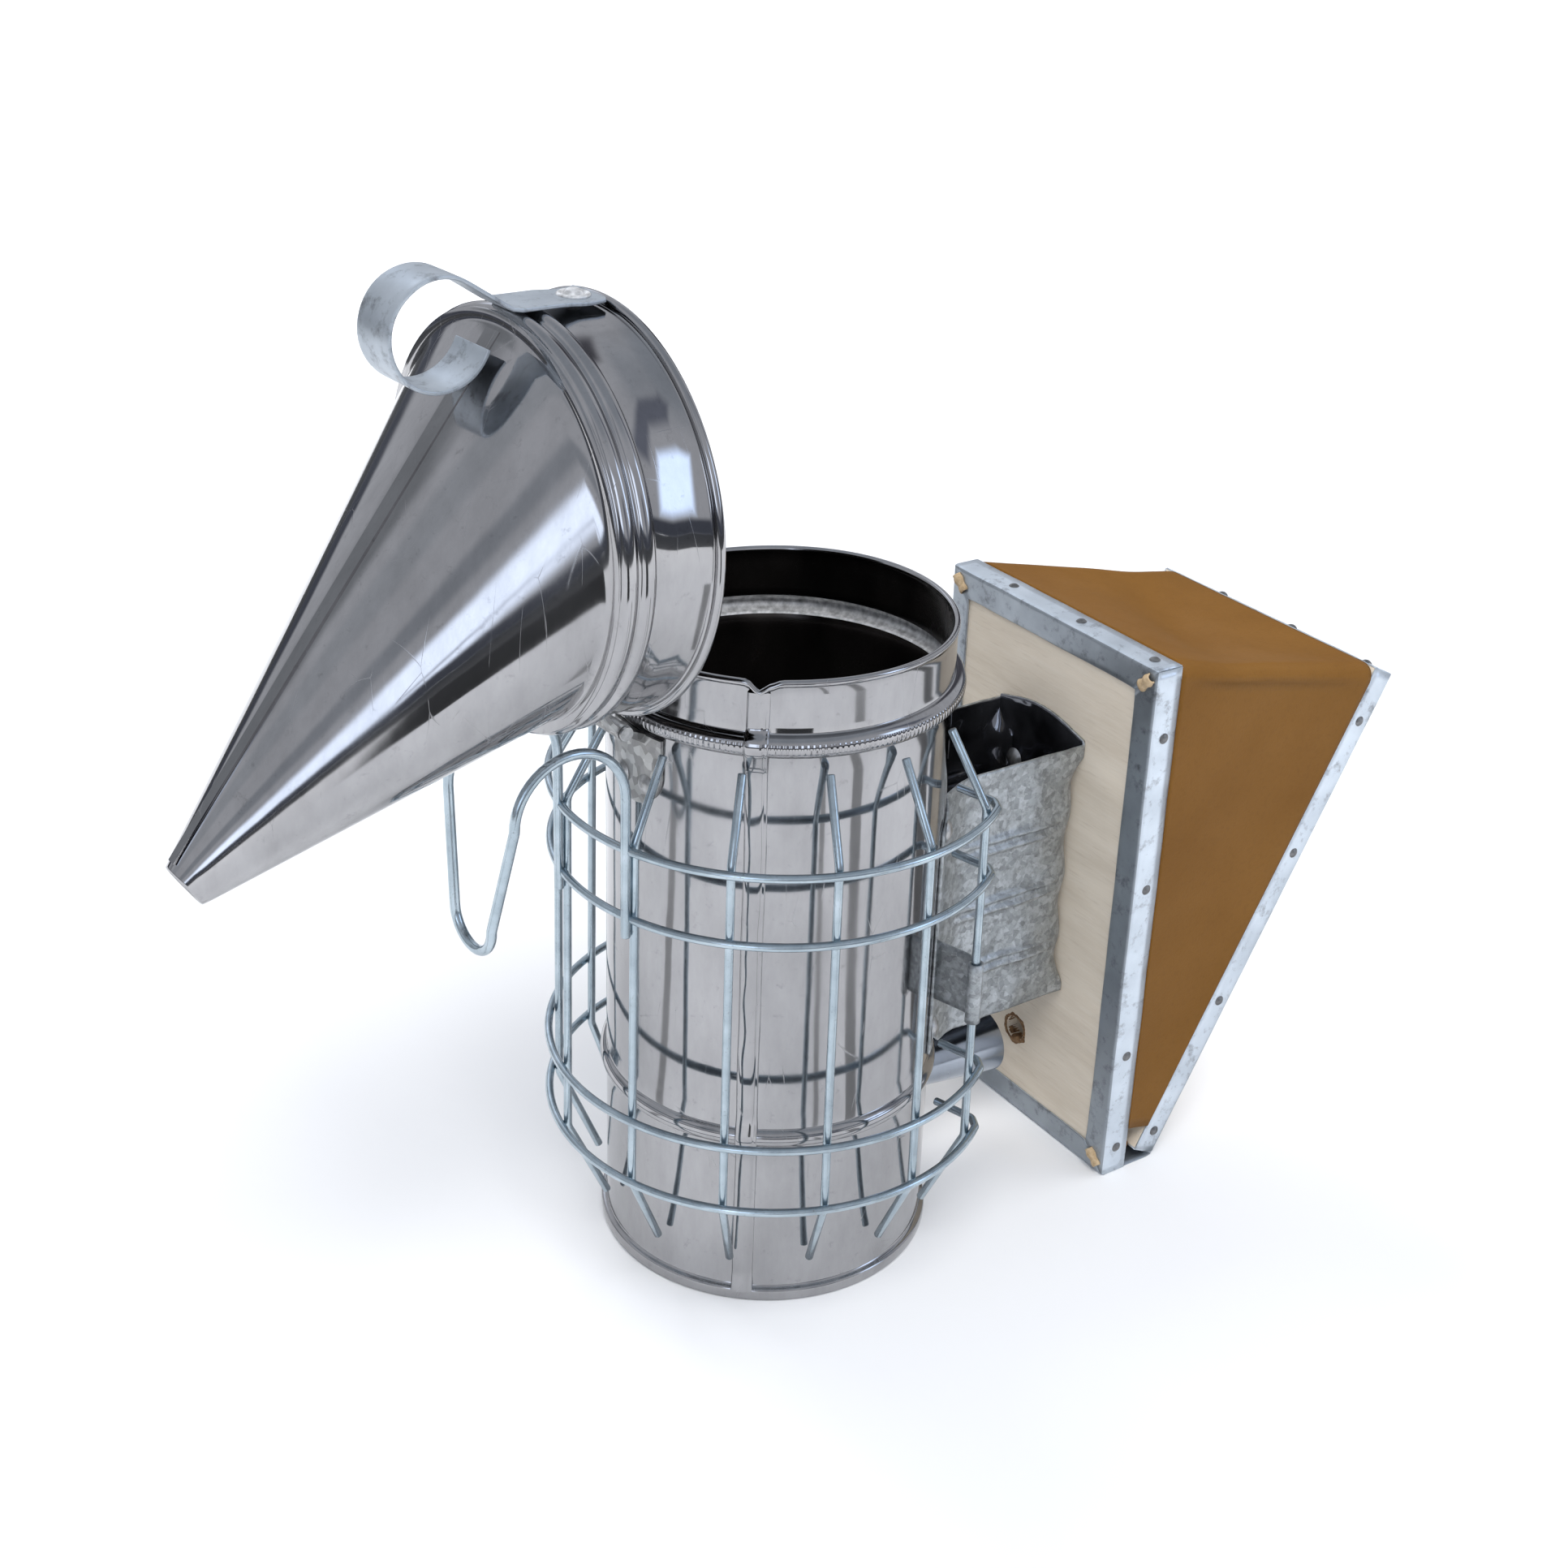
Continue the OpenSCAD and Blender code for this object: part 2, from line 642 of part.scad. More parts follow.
module front_nails() { front_place() edge_nails(front_nail_z, core_h); }
module rear_nails() { rear_turn() edge_nails(rear_nail_z, rear_core_h); }

// Wedge between the boards, in section, its walls set in by the given amount
module wedge(inset) {
    a = -hinge_gap + 0.05;
    b = [cos(bellows_open), -sin(bellows_open)] * (hinge_gap - 0.05);
    up = [sin(bellows_open), cos(bellows_open)];
    foot = 5 + inset;
    reach = rear_foot + rear_core_h - inset;
    polygon([[a, foot], [a, core_h - hinge_z - inset], b + reach * up, b + foot * up]);
}

module bellows_leather() {
    color(tan_leather) yawed() translate([hinge_x, 0, hinge_z]) difference() {
        rotate([90, 0, 0]) linear_extrude(2 * (core_w - 0.6), center = true) wedge(0);
        rotate([90, 0, 0]) linear_extrude(2 * (core_w - 0.6 - leather_t), center = true)
            wedge(leather_t);
    }
}

// Rolled leather that the two boards fold about
module bellows_hinge() {
    color(tan_leather) yawed() translate([hinge_x, 0, hinge_z]) rotate([90, 0, 0])
        cylinder(r = hinge_gap - 0.2, h = 2 * (core_w - 3), center = true);
}

// Coil spring that pushes the boards apart
module bellows_spring() {
    h = 92;
    half = bellows_open / 2;
    gap = 2 * (h * tan(half)) - 8;
    coils = 5;
    coil_r = 15;
    wire = 1.1;
    lap = wire * 2 / (gap / coils) * 180;
    color("slategray") yawed() translate([hinge_x, 0, hinge_z]) rotate([0, half, 0]) translate([0, 0, h])
        rotate([0, 90, 0])
            linear_extrude(gap, center = true, twist = 360 * coils, slices = 20 * coils, $fn = 10)
                polygon([for (t = [0 : 36 : 324])
                    let (r = coil_r + wire * cos(t), a = lap * sin(t)) [r * cos(a), r * sin(a)]]);
}

can_shell();
can_bottom();
can_seam();
fire_grate();
grate_handle();
air_inlet_tube();
guard_ring_1();
guard_ring_2();
guard_ring_3();
guard_ring_4();
guard_uprights();
hanging_hook();
bellows_bracket();
bracket_rivets();
bracket_bolts();
hinge_leaf_can();
hinge_pin();
hinge_leaf_lid();
hinge_rivets_can();
hinge_rivets_lid();
lid_collar();
lid_cone();
cone_seam();
lid_loop();
lid_loop_rivet();
front_board();
front_edge_left();
front_edge_right();
front_edge_top();
front_edge_bottom();
rear_board();
rear_edge_left();
rear_edge_right();
rear_edge_top();
rear_edge_bottom();
front_nails();
rear_nails();
bellows_leather();
bellows_hinge();
bellows_spring();
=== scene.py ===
"""Looks of the bee smoker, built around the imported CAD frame. Metres, CAD frame."""
import json
import math

import bmesh
import bpy
from mathutils import Matrix, Vector, noise


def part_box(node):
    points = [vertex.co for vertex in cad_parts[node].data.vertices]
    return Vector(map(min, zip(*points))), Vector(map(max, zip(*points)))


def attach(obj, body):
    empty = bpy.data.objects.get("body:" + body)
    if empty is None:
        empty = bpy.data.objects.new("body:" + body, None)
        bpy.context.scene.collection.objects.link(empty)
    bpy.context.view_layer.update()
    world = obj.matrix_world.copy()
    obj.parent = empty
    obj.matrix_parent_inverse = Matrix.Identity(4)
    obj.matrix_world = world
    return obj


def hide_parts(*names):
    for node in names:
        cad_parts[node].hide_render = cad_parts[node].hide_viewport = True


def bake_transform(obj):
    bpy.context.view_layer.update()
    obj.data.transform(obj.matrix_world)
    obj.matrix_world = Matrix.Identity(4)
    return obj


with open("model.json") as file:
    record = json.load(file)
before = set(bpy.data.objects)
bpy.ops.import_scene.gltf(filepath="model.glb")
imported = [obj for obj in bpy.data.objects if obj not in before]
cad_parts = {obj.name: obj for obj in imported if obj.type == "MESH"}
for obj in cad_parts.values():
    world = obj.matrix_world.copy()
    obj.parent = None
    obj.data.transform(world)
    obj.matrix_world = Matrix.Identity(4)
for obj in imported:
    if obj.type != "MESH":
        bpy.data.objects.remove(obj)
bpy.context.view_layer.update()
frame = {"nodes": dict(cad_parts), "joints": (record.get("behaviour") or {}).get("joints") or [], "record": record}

MM = 0.001
RECORD = frame["record"]
JOINTS = {j["name"]: j for j in frame["joints"]}


# ---------- shared measures, all read from the frame ----------
def node_range(node, axis):
    low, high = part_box(node)
    return low[axis], high[axis]


CAN_R = node_range("can_bottom", 0)[1] + 0.85 * MM
CAN_H = node_range("can_shell", 2)[1]
WIRE_R = (node_range("guard_ring_1", 2)[1] - node_range("guard_ring_1", 2)[0]) / 2 - 0.12 * MM
LID_PIN = Vector(JOINTS["lid_hinge"]["pos_m"])
FOLD = Vector(JOINTS["bellows_squeeze"]["pos_m"])
FOLD_AXIS = Vector(JOINTS["bellows_squeeze"]["axis"]).normalized()
YAW = math.atan2(FOLD.y, FOLD.x)


# ---------- node material helpers ----------
class Shader:
    """A small wrapper that keeps node-material code short."""

    def __init__(self, name):
        self.mat = bpy.data.materials.new(name)
        self.mat.use_nodes = True
        self.tree = self.mat.node_tree
        self.tree.nodes.clear()
        self.out = self.tree.nodes.new("ShaderNodeOutputMaterial")
        self.bsdf = self.node("ShaderNodeBsdfPrincipled")
        self.link(self.bsdf.outputs[0], self.out.inputs[0])
        self.coord = self.node("ShaderNodeTexCoord").outputs["Object"]

    def node(self, kind, **values):
        made = self.tree.nodes.new(kind)
        for key, value in values.items():
            setattr(made, key, value)
        return made

    def link(self, a, b):
        self.tree.links.new(a, b)

    def put(self, socket, value):
        if isinstance(value, bpy.types.NodeSocket):
            self.link(value, socket)
        elif isinstance(value, (tuple, list)) and len(value) == 3 and len(socket.default_value) == 4:
            socket.default_value = (*value, 1)
        else:
            socket.default_value = value

    def set(self, **inputs):
        for key, value in inputs.items():
            self.put(self.bsdf.inputs[key.replace("_", " ")], value)

    def scaled(self, scale, turn=(0, 0, 0)):
        m = self.node("ShaderNodeMapping")
        m.inputs["Scale"].default_value = scale
        m.inputs["Rotation"].default_value = turn
        self.link(self.coord, m.inputs["Vector"])
        return m.outputs[0]

    def noise(self, scale, detail=3, stretch=(1, 1, 1), rough=0.5, turn=(0, 0, 0), distort=0.0):
        n = self.node("ShaderNodeTexNoise")
        self.put(n.inputs["Vector"], self.scaled(stretch, turn))
        n.inputs["Scale"].default_value = scale
        n.inputs["Detail"].default_value = detail
        n.inputs["Roughness"].default_value = rough
        n.inputs["Distortion"].default_value = distort
        return n.outputs["Fac"]

    def voronoi(self, scale, feature="F1", out="Distance", stretch=(1, 1, 1), turn=(0, 0, 0)):
        n = self.node("ShaderNodeTexVoronoi", feature=feature)
        self.put(n.inputs["Vector"], self.scaled(stretch, turn))
        n.inputs["Scale"].default_value = scale
        return n.outputs[out]

    def ramp(self, value, *stops):
        n = self.node("ShaderNodeValToRGB")
        while len(n.color_ramp.elements) < len(stops):
            n.color_ramp.elements.new(0.5)
        for element, (at, colour) in zip(n.color_ramp.elements, stops):
            element.position = at
            grey = isinstance(colour, (int, float))
            element.color = (colour, colour, colour, 1) if grey else (*colour, 1)
        self.link(value, n.inputs[0])
        return n.outputs[0]

    def math(self, operation, a, b=0.0):
        n = self.node("ShaderNodeMath", operation=operation)
        self.put(n.inputs[0], a)
        self.put(n.inputs[1], b)
        return n.outputs[0]

    def mix(self, share, a, b, blend="MIX"):
        n = self.node("ShaderNodeMix", data_type="RGBA", blend_type=blend)
        self.put(n.inputs["Factor"], share)
        self.put(n.inputs[6], a)
        self.put(n.inputs[7], b)
        return n.outputs[2]

    def bump(self, *layers):
        """layers are (height, strength, distance in metres) and stack on each other."""
        normal = None
        for height, strength, distance in layers:
            n = self.node("ShaderNodeBump")
            n.inputs["Strength"].default_value = strength
            n.inputs["Distance"].default_value = distance
            self.put(n.inputs["Height"], height)
            if normal is not None:
                self.link(normal, n.inputs["Normal"])
            normal = n.outputs[0]
        self.link(normal, self.bsdf.inputs["Normal"])


# ---------- materials ----------
def polished_steel(name, tint=(0.415, 0.412, 0.42), rough=0.035, knurl_z=None):
    s = Shader(name)
    smudge = s.noise(28, 4, (1, 1, 0.6))
    fine = s.noise(900, 2, (1, 1, 0.04))
    scratch = s.voronoi(110, "DISTANCE_TO_EDGE", "Distance", (1, 1, 0.2), (0.5, 0.3, 0.2))
    thin = s.math("MULTIPLY", s.ramp(scratch, (0.0, 0.04), (0.01, 0.0)), s.ramp(s.noise(70, 2), (0.52, 0.0), (0.6, 1.0)))
    film = s.noise(75, 6, (1, 1, 0.35), 0.7)
    stain = s.noise(260, 5, rough=0.75)
    colour = s.mix(s.ramp(film, (0.35, 0.0), (0.7, 1.0)), tint, tuple(c * 0.8 for c in tint))
    colour = s.mix(s.ramp(stain, (0.6, 0.0), (0.72, 0.5)), colour, tuple(c * 0.55 for c in tint))
    s.set(Base_Color=colour, Metallic=1.0)
    base = s.math("ADD", s.ramp(smudge, (0.35, rough), (0.8, rough + 0.11)), s.math("MULTIPLY", fine, 0.03))
    s.set(Roughness=s.math("ADD", base, s.math("MULTIPLY", thin, 6.0)))
    layers = [(s.noise(15, 2), 0.25, 0.0016), (s.noise(60, 2), 0.12, 0.0005), (thin, 0.5, 0.0002)]
    if knurl_z:
        spot = s.node("ShaderNodeSeparateXYZ")
        s.link(s.coord, spot.inputs[0])
        turn = s.math("MULTIPLY", s.math("ARCTAN2", spot.outputs[1], spot.outputs[0]), 210.0)
        off = s.math("ABSOLUTE", s.math("SUBTRACT", spot.outputs[2], knurl_z))
        band = s.math("LESS_THAN", off, 1.6 * MM)
        layers.append((s.math("MULTIPLY", s.math("SINE", turn), band), 0.35, 0.0003))
    s.bump(*layers)
    return s.mat


def dark_steel(name):
    s = Shader(name)
    soot = s.noise(45, 6, (1, 1, 0.5))
    s.set(Base_Color=s.ramp(soot, (0.3, (0.02, 0.019, 0.018)), (0.75, (0.09, 0.08, 0.075))))
    s.set(Metallic=0.9, Roughness=s.ramp(soot, (0.3, 0.16), (0.8, 0.34)))
    s.bump((soot, 0.2, 0.0006))
    return s.mat


def zinc_wire(name):
    s = Shader(name)
    patch = s.noise(140, 4)
    speck = s.noise(1500, 3)
    colour = s.ramp(patch, (0.3, (0.36, 0.43, 0.48)), (0.55, (0.45, 0.53, 0.58)), (0.8, (0.55, 0.63, 0.69)))
    s.set(Base_Color=s.mix(s.ramp(speck, (0.62, 0.0), (0.8, 0.7)), colour, (0.14, 0.13, 0.12)))
    s.set(Metallic=1.0, Roughness=s.ramp(patch, (0.3, 0.27), (0.8, 0.17)))
    s.bump((speck, 0.12, 0.0001), (patch, 0.15, 0.0002))
    return s.mat


def galvanised(name, light=0.42):
    s = Shader(name)
    flake = s.voronoi(420, "F1", "Color", (1, 1, 1))
    tone = s.node("ShaderNodeSeparateColor")
    s.link(flake, tone.inputs[0])
    spangle = s.ramp(tone.outputs[0], (0.0, (light * 0.62,) * 3), (0.5, (light,) * 3),
                     (1.0, (light * 1.45, light * 1.47, light * 1.45)))
    grime = s.noise(60, 6, rough=0.65)
    s.set(Base_Color=s.mix(s.ramp(grime, (0.35, 0.0), (0.8, 0.6)), spangle, (0.2, 0.19, 0.17)))
    s.set(Metallic=0.8, Roughness=s.ramp(tone.outputs[1], (0.0, 0.3), (1.0, 0.55)))
    s.bump((tone.outputs[2], 0.12, 0.0002), (grime, 0.3, 0.0004))
    return s.mat


def bracket_sheet(name):
    s = Shader(name)
    flake = s.voronoi(520, "F1", "Color")
    tone = s.node("ShaderNodeSeparateColor")
    s.link(flake, tone.inputs[0])
    grime = s.noise(420, 6, rough=0.75)
    spangle = s.ramp(tone.outputs[0], (0.0, (0.30, 0.32, 0.33)), (1.0, (0.52, 0.55, 0.57)))
    s.set(Base_Color=s.mix(s.ramp(grime, (0.46, 0.0), (0.66, 0.7)), spangle, (0.17, 0.175, 0.175)))
    s.set(Metallic=0.8, Roughness=0.42)
    s.bump((tone.outputs[2], 0.15, 0.0002), (grime, 0.3, 0.0002), (s.noise(60, 3), 0.35, 0.001))
    return s.mat


def painted_shade_gloss(name):
    # Near-black base with brighter noise patches: painted shade for the sheet's shaded inner face, and painted
    # highlights where the patches are bright.
    s = Shader(name)
    s.set(Base_Color=s.ramp(s.noise(50, 3), (0.3, (0.012, 0.012, 0.016)), (0.75, (0.26, 0.27, 0.30))))
    s.set(Metallic=0.9, Roughness=0.08)
    s.bump((s.noise(42, 2), 1.0, 0.006))
    return s.mat


def zinc_strip(name, light=1.0):
    s = Shader(name)
    cloud = s.noise(70, 5)
    stain = s.noise(190, 6, rough=0.7)
    colour = s.ramp(cloud, (0.3, (0.56 * light, 0.62 * light, 0.68 * light)), (0.7, (0.72 * light, 0.79 * light, 0.86 * light)))
    s.set(Base_Color=s.mix(s.ramp(stain, (0.54, 0.0), (0.72, 0.7)), colour, (0.16 * light, 0.16 * light, 0.17 * light)))
    s.set(Metallic=0.75, Roughness=s.ramp(stain, (0.3, 0.32), (0.8, 0.55)))
    s.bump((cloud, 0.25, 0.0006), (stain, 0.25, 0.0002))
    return s.mat


def plywood(name):
    s = Shader(name)
    band = s.noise(26, 4, (1, 1, 5.0), distort=0.4)
    grain = s.noise(160, 6, (1, 0.35, 7.0), rough=0.7)
    fleck = s.noise(700, 2, (1, 0.12, 1.6))
    colour = s.ramp(band, (0.3, (0.70, 0.61, 0.49)), (0.7, (0.81, 0.718, 0.59)))
    colour = s.mix(s.ramp(grain, (0.45, 0.0), (0.75, 0.4)), colour, (0.85, 0.79, 0.69))
    colour = s.mix(s.ramp(fleck, (0.6, 0.0), (0.72, 0.22)), colour, (0.50, 0.40, 0.30))
    s.set(Base_Color=colour, Roughness=0.82, Specular_IOR_Level=0.25)
    s.bump((grain, 0.25, 0.0003), (fleck, 0.2, 0.0001))
    return s.mat


def leather(name, base=(0.155, 0.066, 0.008), top=(0.19, 0.084, 0.012)):
    s = Shader(name)
    cloud = s.noise(22, 4)
    pores = s.voronoi(1300, "F1", "Distance")
    grain = s.noise(600, 4, rough=0.6)
    colour = s.mix(s.ramp(cloud, (0.3, 0.0), (0.7, 1.0)), base, top)
    colour = s.mix(s.ramp(grain, (0.5, 0.0), (0.8, 0.3)), colour, tuple(c * 0.7 for c in base))
    s.set(Base_Color=colour, Roughness=s.ramp(cloud, (0.3, 0.62), (0.7, 0.52)), Specular_IOR_Level=0.2)
    s.bump((pores, 0.18, 0.0002), (grain, 0.15, 0.0002), (s.noise(30, 3), 0.3, 0.0015))
    return s.mat


def raw_hide(name):
    s = Shader(name)
    fuzz = s.noise(700, 5, rough=0.7)
    s.set(Base_Color=s.ramp(fuzz, (0.3, (0.42, 0.29, 0.16)), (0.8, (0.70, 0.55, 0.36))), Roughness=0.95)
    s.bump((fuzz, 0.5, 0.0004))
    return s.mat


def torn_wood(name):
    s = Shader(name)
    fibre = s.noise(900, 5, (1, 0.3, 1), 0.7)
    s.set(Base_Color=s.ramp(fibre, (0.35, (0.10, 0.045, 0.02)), (0.7, (0.36, 0.22, 0.11))), Roughness=0.95)
    s.bump((fibre, 0.6, 0.0004))
    return s.mat


def dull_steel(name, light=0.5, metal=0.9):
    s = Shader(name)
    cloud = s.noise(500, 4)
    s.set(Base_Color=s.ramp(cloud, (0.3, light * 0.55), (0.75, light * 1.3)))
    s.set(Metallic=metal, Roughness=s.ramp(cloud, (0.3, 0.28), (0.8, 0.5)))
    s.bump((cloud, 0.25, 0.0002))
    return s.mat


MATS = {
    "polished_steel": polished_steel("polished_steel"),
    "burnt_steel": dark_steel("burnt_steel"),
    "zinc_wire": zinc_wire("zinc_wire"),
    "galvanised_sheet": galvanised("galvanised_sheet"),
    "zinc_edging": zinc_strip("zinc_edging"),
    "plywood": plywood("plywood"),
    "tan_leather": leather("tan_leather"),
    "fasteners": dull_steel("fasteners"),
}
KNURLED = polished_steel("knurled_steel", knurl_z=186 * MM)
BRACKET = bracket_sheet("bracket_sheet")
BRACKET_PAINTED_SHADE = painted_shade_gloss("bracket_inside_painted_shade")
# Darker copy of the edging zinc: painted shade for the strips' face legs and the fold wrap.
SHADED_FACE_ZINC = zinc_strip("edging_face_painted_shade", 0.5)
LOOP_ZINC = zinc_strip("loop_zinc", 0.72)
# Lighter steel for the inner stop bead: a painted highlight.
BEAD_GLINT = dull_steel("bead_glint", 0.75, 0.45)
NAIL = dull_steel("nail_head", 0.22, 0.8)
RIVET_HEAD = dull_steel("rivet_head", 0.8, 0.6)
OVERRIDES = {"front_nails": NAIL, "rear_nails": NAIL, "air_inlet_tube": polished_steel("tube_steel", (0.40, 0.44, 0.50), 0.14)}
INNER_STEEL = dark_steel("dark_inner_steel")
TORN_WOOD = torn_wood("torn_wood")
HIDE = raw_hide("hide_backing")

for part in RECORD["subparts"]:
    node = frame["nodes"][part["node"]]
    node.data.materials.clear()
    node.data.materials.append(OVERRIDES.get(part["node"]) or MATS[part["material_slot"]])


# ---------- mesh helpers ----------
def add_piece(name, mesh, body, slot, material=None, smooth=True):
    piece = bpy.data.objects.new(name, mesh)
    bpy.context.scene.collection.objects.link(piece)
    piece.data.materials.append(material or MATS[slot])
    if smooth:
        piece.data.polygons.foreach_set("use_smooth", [True] * len(piece.data.polygons))
    if body:
        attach(piece, body)
    return piece


def grid_mesh(name, rows, closed_u=False, closed_v=False):
    """Mesh through rows of points: rows[v][u]."""
    mesh = bpy.data.meshes.new(name)
    n_v, n_u = len(rows), len(rows[0])
    verts = [p for row in rows for p in row]
    faces = []
    for v in range(n_v if closed_v else n_v - 1):
        for u in range(n_u if closed_u else n_u - 1):
            a = v * n_u + u
            b = v * n_u + (u + 1) % n_u
            c = ((v + 1) % n_v) * n_u + (u + 1) % n_u
            d = ((v + 1) % n_v) * n_u + u
            faces.append((a, b, c, d))
    mesh.from_pydata(verts, [], faces)
    mesh.validate()
    mesh.update()
    return mesh


def arc_points(cx, cy, r, a0, a1, steps):
    span = [a0 + (a1 - a0) * k / steps for k in range(steps + 1)]
    return [(cx + r * math.cos(math.radians(a)), cy + r * math.sin(math.radians(a))) for a in span]


def tube_along(points, radius, sides=20):
    """Rings of a round tube through points, with a frame carried along it."""
    rings = []
    normal = None
    count = len(points)
    for i, p in enumerate(points):
        ahead = points[min(i + 1, count - 1)] - points[max(i - 1, 0)]
        ahead.normalize()
        if normal is None:
            normal = ahead.orthogonal().normalized()
        normal = (normal - ahead * normal.dot(ahead)).normalized()
        side = ahead.cross(normal)
        rings.append([p + radius * (math.cos(t) * normal + math.sin(t) * side)
                      for t in (2 * math.pi * k / sides for k in range(sides))])
    return rings


def tube_mesh(name, paths, radius, sides=20):
    """One mesh of round wires through each path, ends slightly rounded."""
    bm = bmesh.new()
    for path in paths:
        rings = tube_along(path, radius, sides)
        for end, inward in ((0, 1), (-1, -2)):
            out = (path[end] - path[inward]).normalized()
            centre = path[end]
            cap = [[centre + out * radius * 0.35 * lift + (v - centre) * shrink for v in rings[end]]
                   for lift, shrink in ((0.6, 0.9), (0.9, 0.6), (1.0, 0.2))]
            rings = rings + cap if end == -1 else cap[::-1] + rings
        made = [[bm.verts.new(v) for v in ring] for ring in rings]
        for a, b in zip(made, made[1:]):
            for k in range(sides):
                bm.faces.new((a[k], a[(k + 1) % sides], b[(k + 1) % sides], b[k]))
        bm.faces.new(made[0][::-1])
        bm.faces.new(made[-1])
    bmesh.ops.recalc_face_normals(bm, faces=bm.faces)
    mesh = bpy.data.meshes.new(name)
    bm.to_mesh(mesh)
    bm.free()
    return mesh


def round_path(corners, bend_r, step=6):
    """Path through corner points whose corners are rounded with the given bend radius."""
    path = [Vector(corners[0])]
    for before, at, after in zip(corners, corners[1:], corners[2:]):
        before, at, after = Vector(before), Vector(at), Vector(after)
        d_in, d_out = (at - before).normalized(), (after - at).normalized()
        turn = d_in.angle(d_out)
        cut = min(bend_r * math.tan(turn / 2), 0.45 * (at - before).length, 0.45 * (after - at).length)
        start, end = at - d_in * cut, at + d_out * cut
        count = max(3, int(math.degrees(turn) / step))
        for k in range(count + 1):
            t = k / count
            path.append((1 - t) ** 2 * start + 2 * t * (1 - t) * at + t * t * end)
    path.append(Vector(corners[-1]))
    return path


# ---------- lathe bodies: the can, the lid's collar and its cone ----------
LID_OPEN = math.radians(-JOINTS["lid_hinge"]["range_deg"][0])
LID_RIM_Z = 189.4 * MM
LID_FRAME = (Matrix.Translation(LID_PIN) @ Matrix.Rotation(-LID_OPEN, 4, "Y")
             @ Matrix.Translation(Vector((-LID_PIN.x, 0, LID_RIM_Z - LID_PIN.z))))
YAWED = Matrix.Rotation(YAW, 4, "Z")
SEAM_AZ = math.radians(-135)
ROUND = 240


def level_rows(r, z0, z1, step=5.0):
    count = max(1, round(abs(z1 - z0) / step))
    return [(r, z0 + (z1 - z0) * k / count) for k in range(count + 1)]


def lathe(name, profile, inner_from, cells, frame_matrix, body, slot, move=None, hole=None):
    """Body of revolution through (radius, height) points in mm; rows from inner_from on take the dark inner steel."""
    rows = []
    for r, z in profile:
        ring = []
        for k in range(cells):
            a = 2 * math.pi * k / cells
            dr, dz = move(a, r, z) if move else (0.0, 0.0)
            ring.append(frame_matrix @ (Vector(((r + dr) * math.cos(a), (r + dr) * math.sin(a), z + dz)) * MM))
        rows.append(ring)
    mesh = grid_mesh(name, rows, closed_u=True)
    piece = add_piece(name, mesh, body, slot)
    mesh.materials.append(INNER_STEEL)
    for polygon in mesh.polygons:
        if polygon.index // cells >= inner_from:
            polygon.material_index = 1
    if hole:
        bm = bmesh.new()
        bm.from_mesh(mesh)
        bmesh.ops.delete(bm, geom=[f for f in bm.faces if hole(f.calc_center_median())], context="FACES")
        bm.to_mesh(mesh)
        bm.free()
    return piece


def build_can():
    rim = (arc_points(49.6, 204, 1.0, -40, 220, 16))
    stop = arc_points(49.9, 186, 3.4, -86, 86, 22)
    low = arc_points(48.8, 58.7, 3.2, -66, 66, 18)
    foot = arc_points(50.8, 1.0, 1.0, -90, 0, 4) + arc_points(50.8, 3.2, 1.0, 0, 80, 4) + [(50.15, 4.5)]
    outer = foot + level_rows(50, 5.2, 55.4) + low + level_rows(50, 62, 182.2) + stop
    outer += level_rows(50, 189.8, 202.8, 2) + rim
    inner = level_rows(49.2, 202.6, 188.9, 3) + arc_points(49.9, 186, 2.6, 92, -92, 18)
    inner += level_rows(49.2, 182.8, 62) + level_rows(49.2, 55, 0.9)
    tube_z, tube_r = 30.5 * MM, 6.4 * MM

    def move(a, r, z):
        """The rolled rim is nicked and dips where the lock seam is folded in under it."""
        near = (math.remainder(a - SEAM_AZ, 2 * math.pi)) * 50
        top = max(0.0, min(1.0, (z - 199) / 4))
        nick = math.exp(-(near / 2.0) ** 2) * 3.0 + math.exp(-((near - 3.4) / 1.6) ** 2) * 0.8
        wave = 0.25 * math.sin(3 * a + 1) * top
        return 0.35 * top * math.exp(-(near / 5) ** 2), wave - nick * top

    def in_tube(p):
        q = YAWED.inverted() @ p
        return q.x > 0 and q.y ** 2 + (q.z - tube_z) ** 2 < tube_r ** 2

    can = lathe("can_body", outer + inner, len(outer) - 4, ROUND, Matrix.Identity(4), "can",
                "polished_steel", move, in_tube)
    can.data.materials[0] = KNURLED
    # The inner stop bead gets a lighter steel: a painted highlight for the light it catches from above.
    can.data.materials.append(BEAD_GLINT)
    for polygon in can.data.polygons:
        if polygon.material_index == 1 and 182.6 * MM < polygon.center.z < 189.2 * MM:
            polygon.material_index = 2
    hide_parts("can_shell")
    build_can_seam(outer)


def build_can_seam(outer):
    """Folded lock seam: a proud band, creased along one edge, beaten flat over the beads."""
    across = [(-3.3, -0.4), (-3.15, 0.35), (-2.7, 0.85), (-2.0, 1.0), (-0.6, 0.95), (0.8, 0.85), (1.7, 0.8), (2.1, 0.45),
              (2.35, 0.35), (2.6, 0.5), (3.0, 0.35), (3.2, -0.4)]

    def radius_at(z, window=1.6):
        return max((r for r, height in outer if abs(height - z) < window), default=50)

    rows = []
    for number in range(199):
        z = 3.5 + number
        spread = [radius_at(min(z + d, 187)) for d in (-3, -2, -1, 0, 1, 2, 3)]
        base = sum(spread) / 7 if z < 187.2 else radius_at(z, 0.5)
        row = []
        for y, lift in across:
            lift += 0.16 * noise.noise(Vector((z * 0.09, y * 0.4, 2.0)))
            sway = 0.25 * noise.noise(Vector((z * 0.03, 5.0, 1.0)))
            a = SEAM_AZ + (y + sway) / 50
            row.append(Vector(((base + lift) * math.cos(a), (base + lift) * math.sin(a), z)) * MM)
        rows.append(row)
    seam = add_piece("can_seam_fold", grid_mesh("can_seam_fold", rows), "can", "polished_steel")
    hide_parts("can_seam")


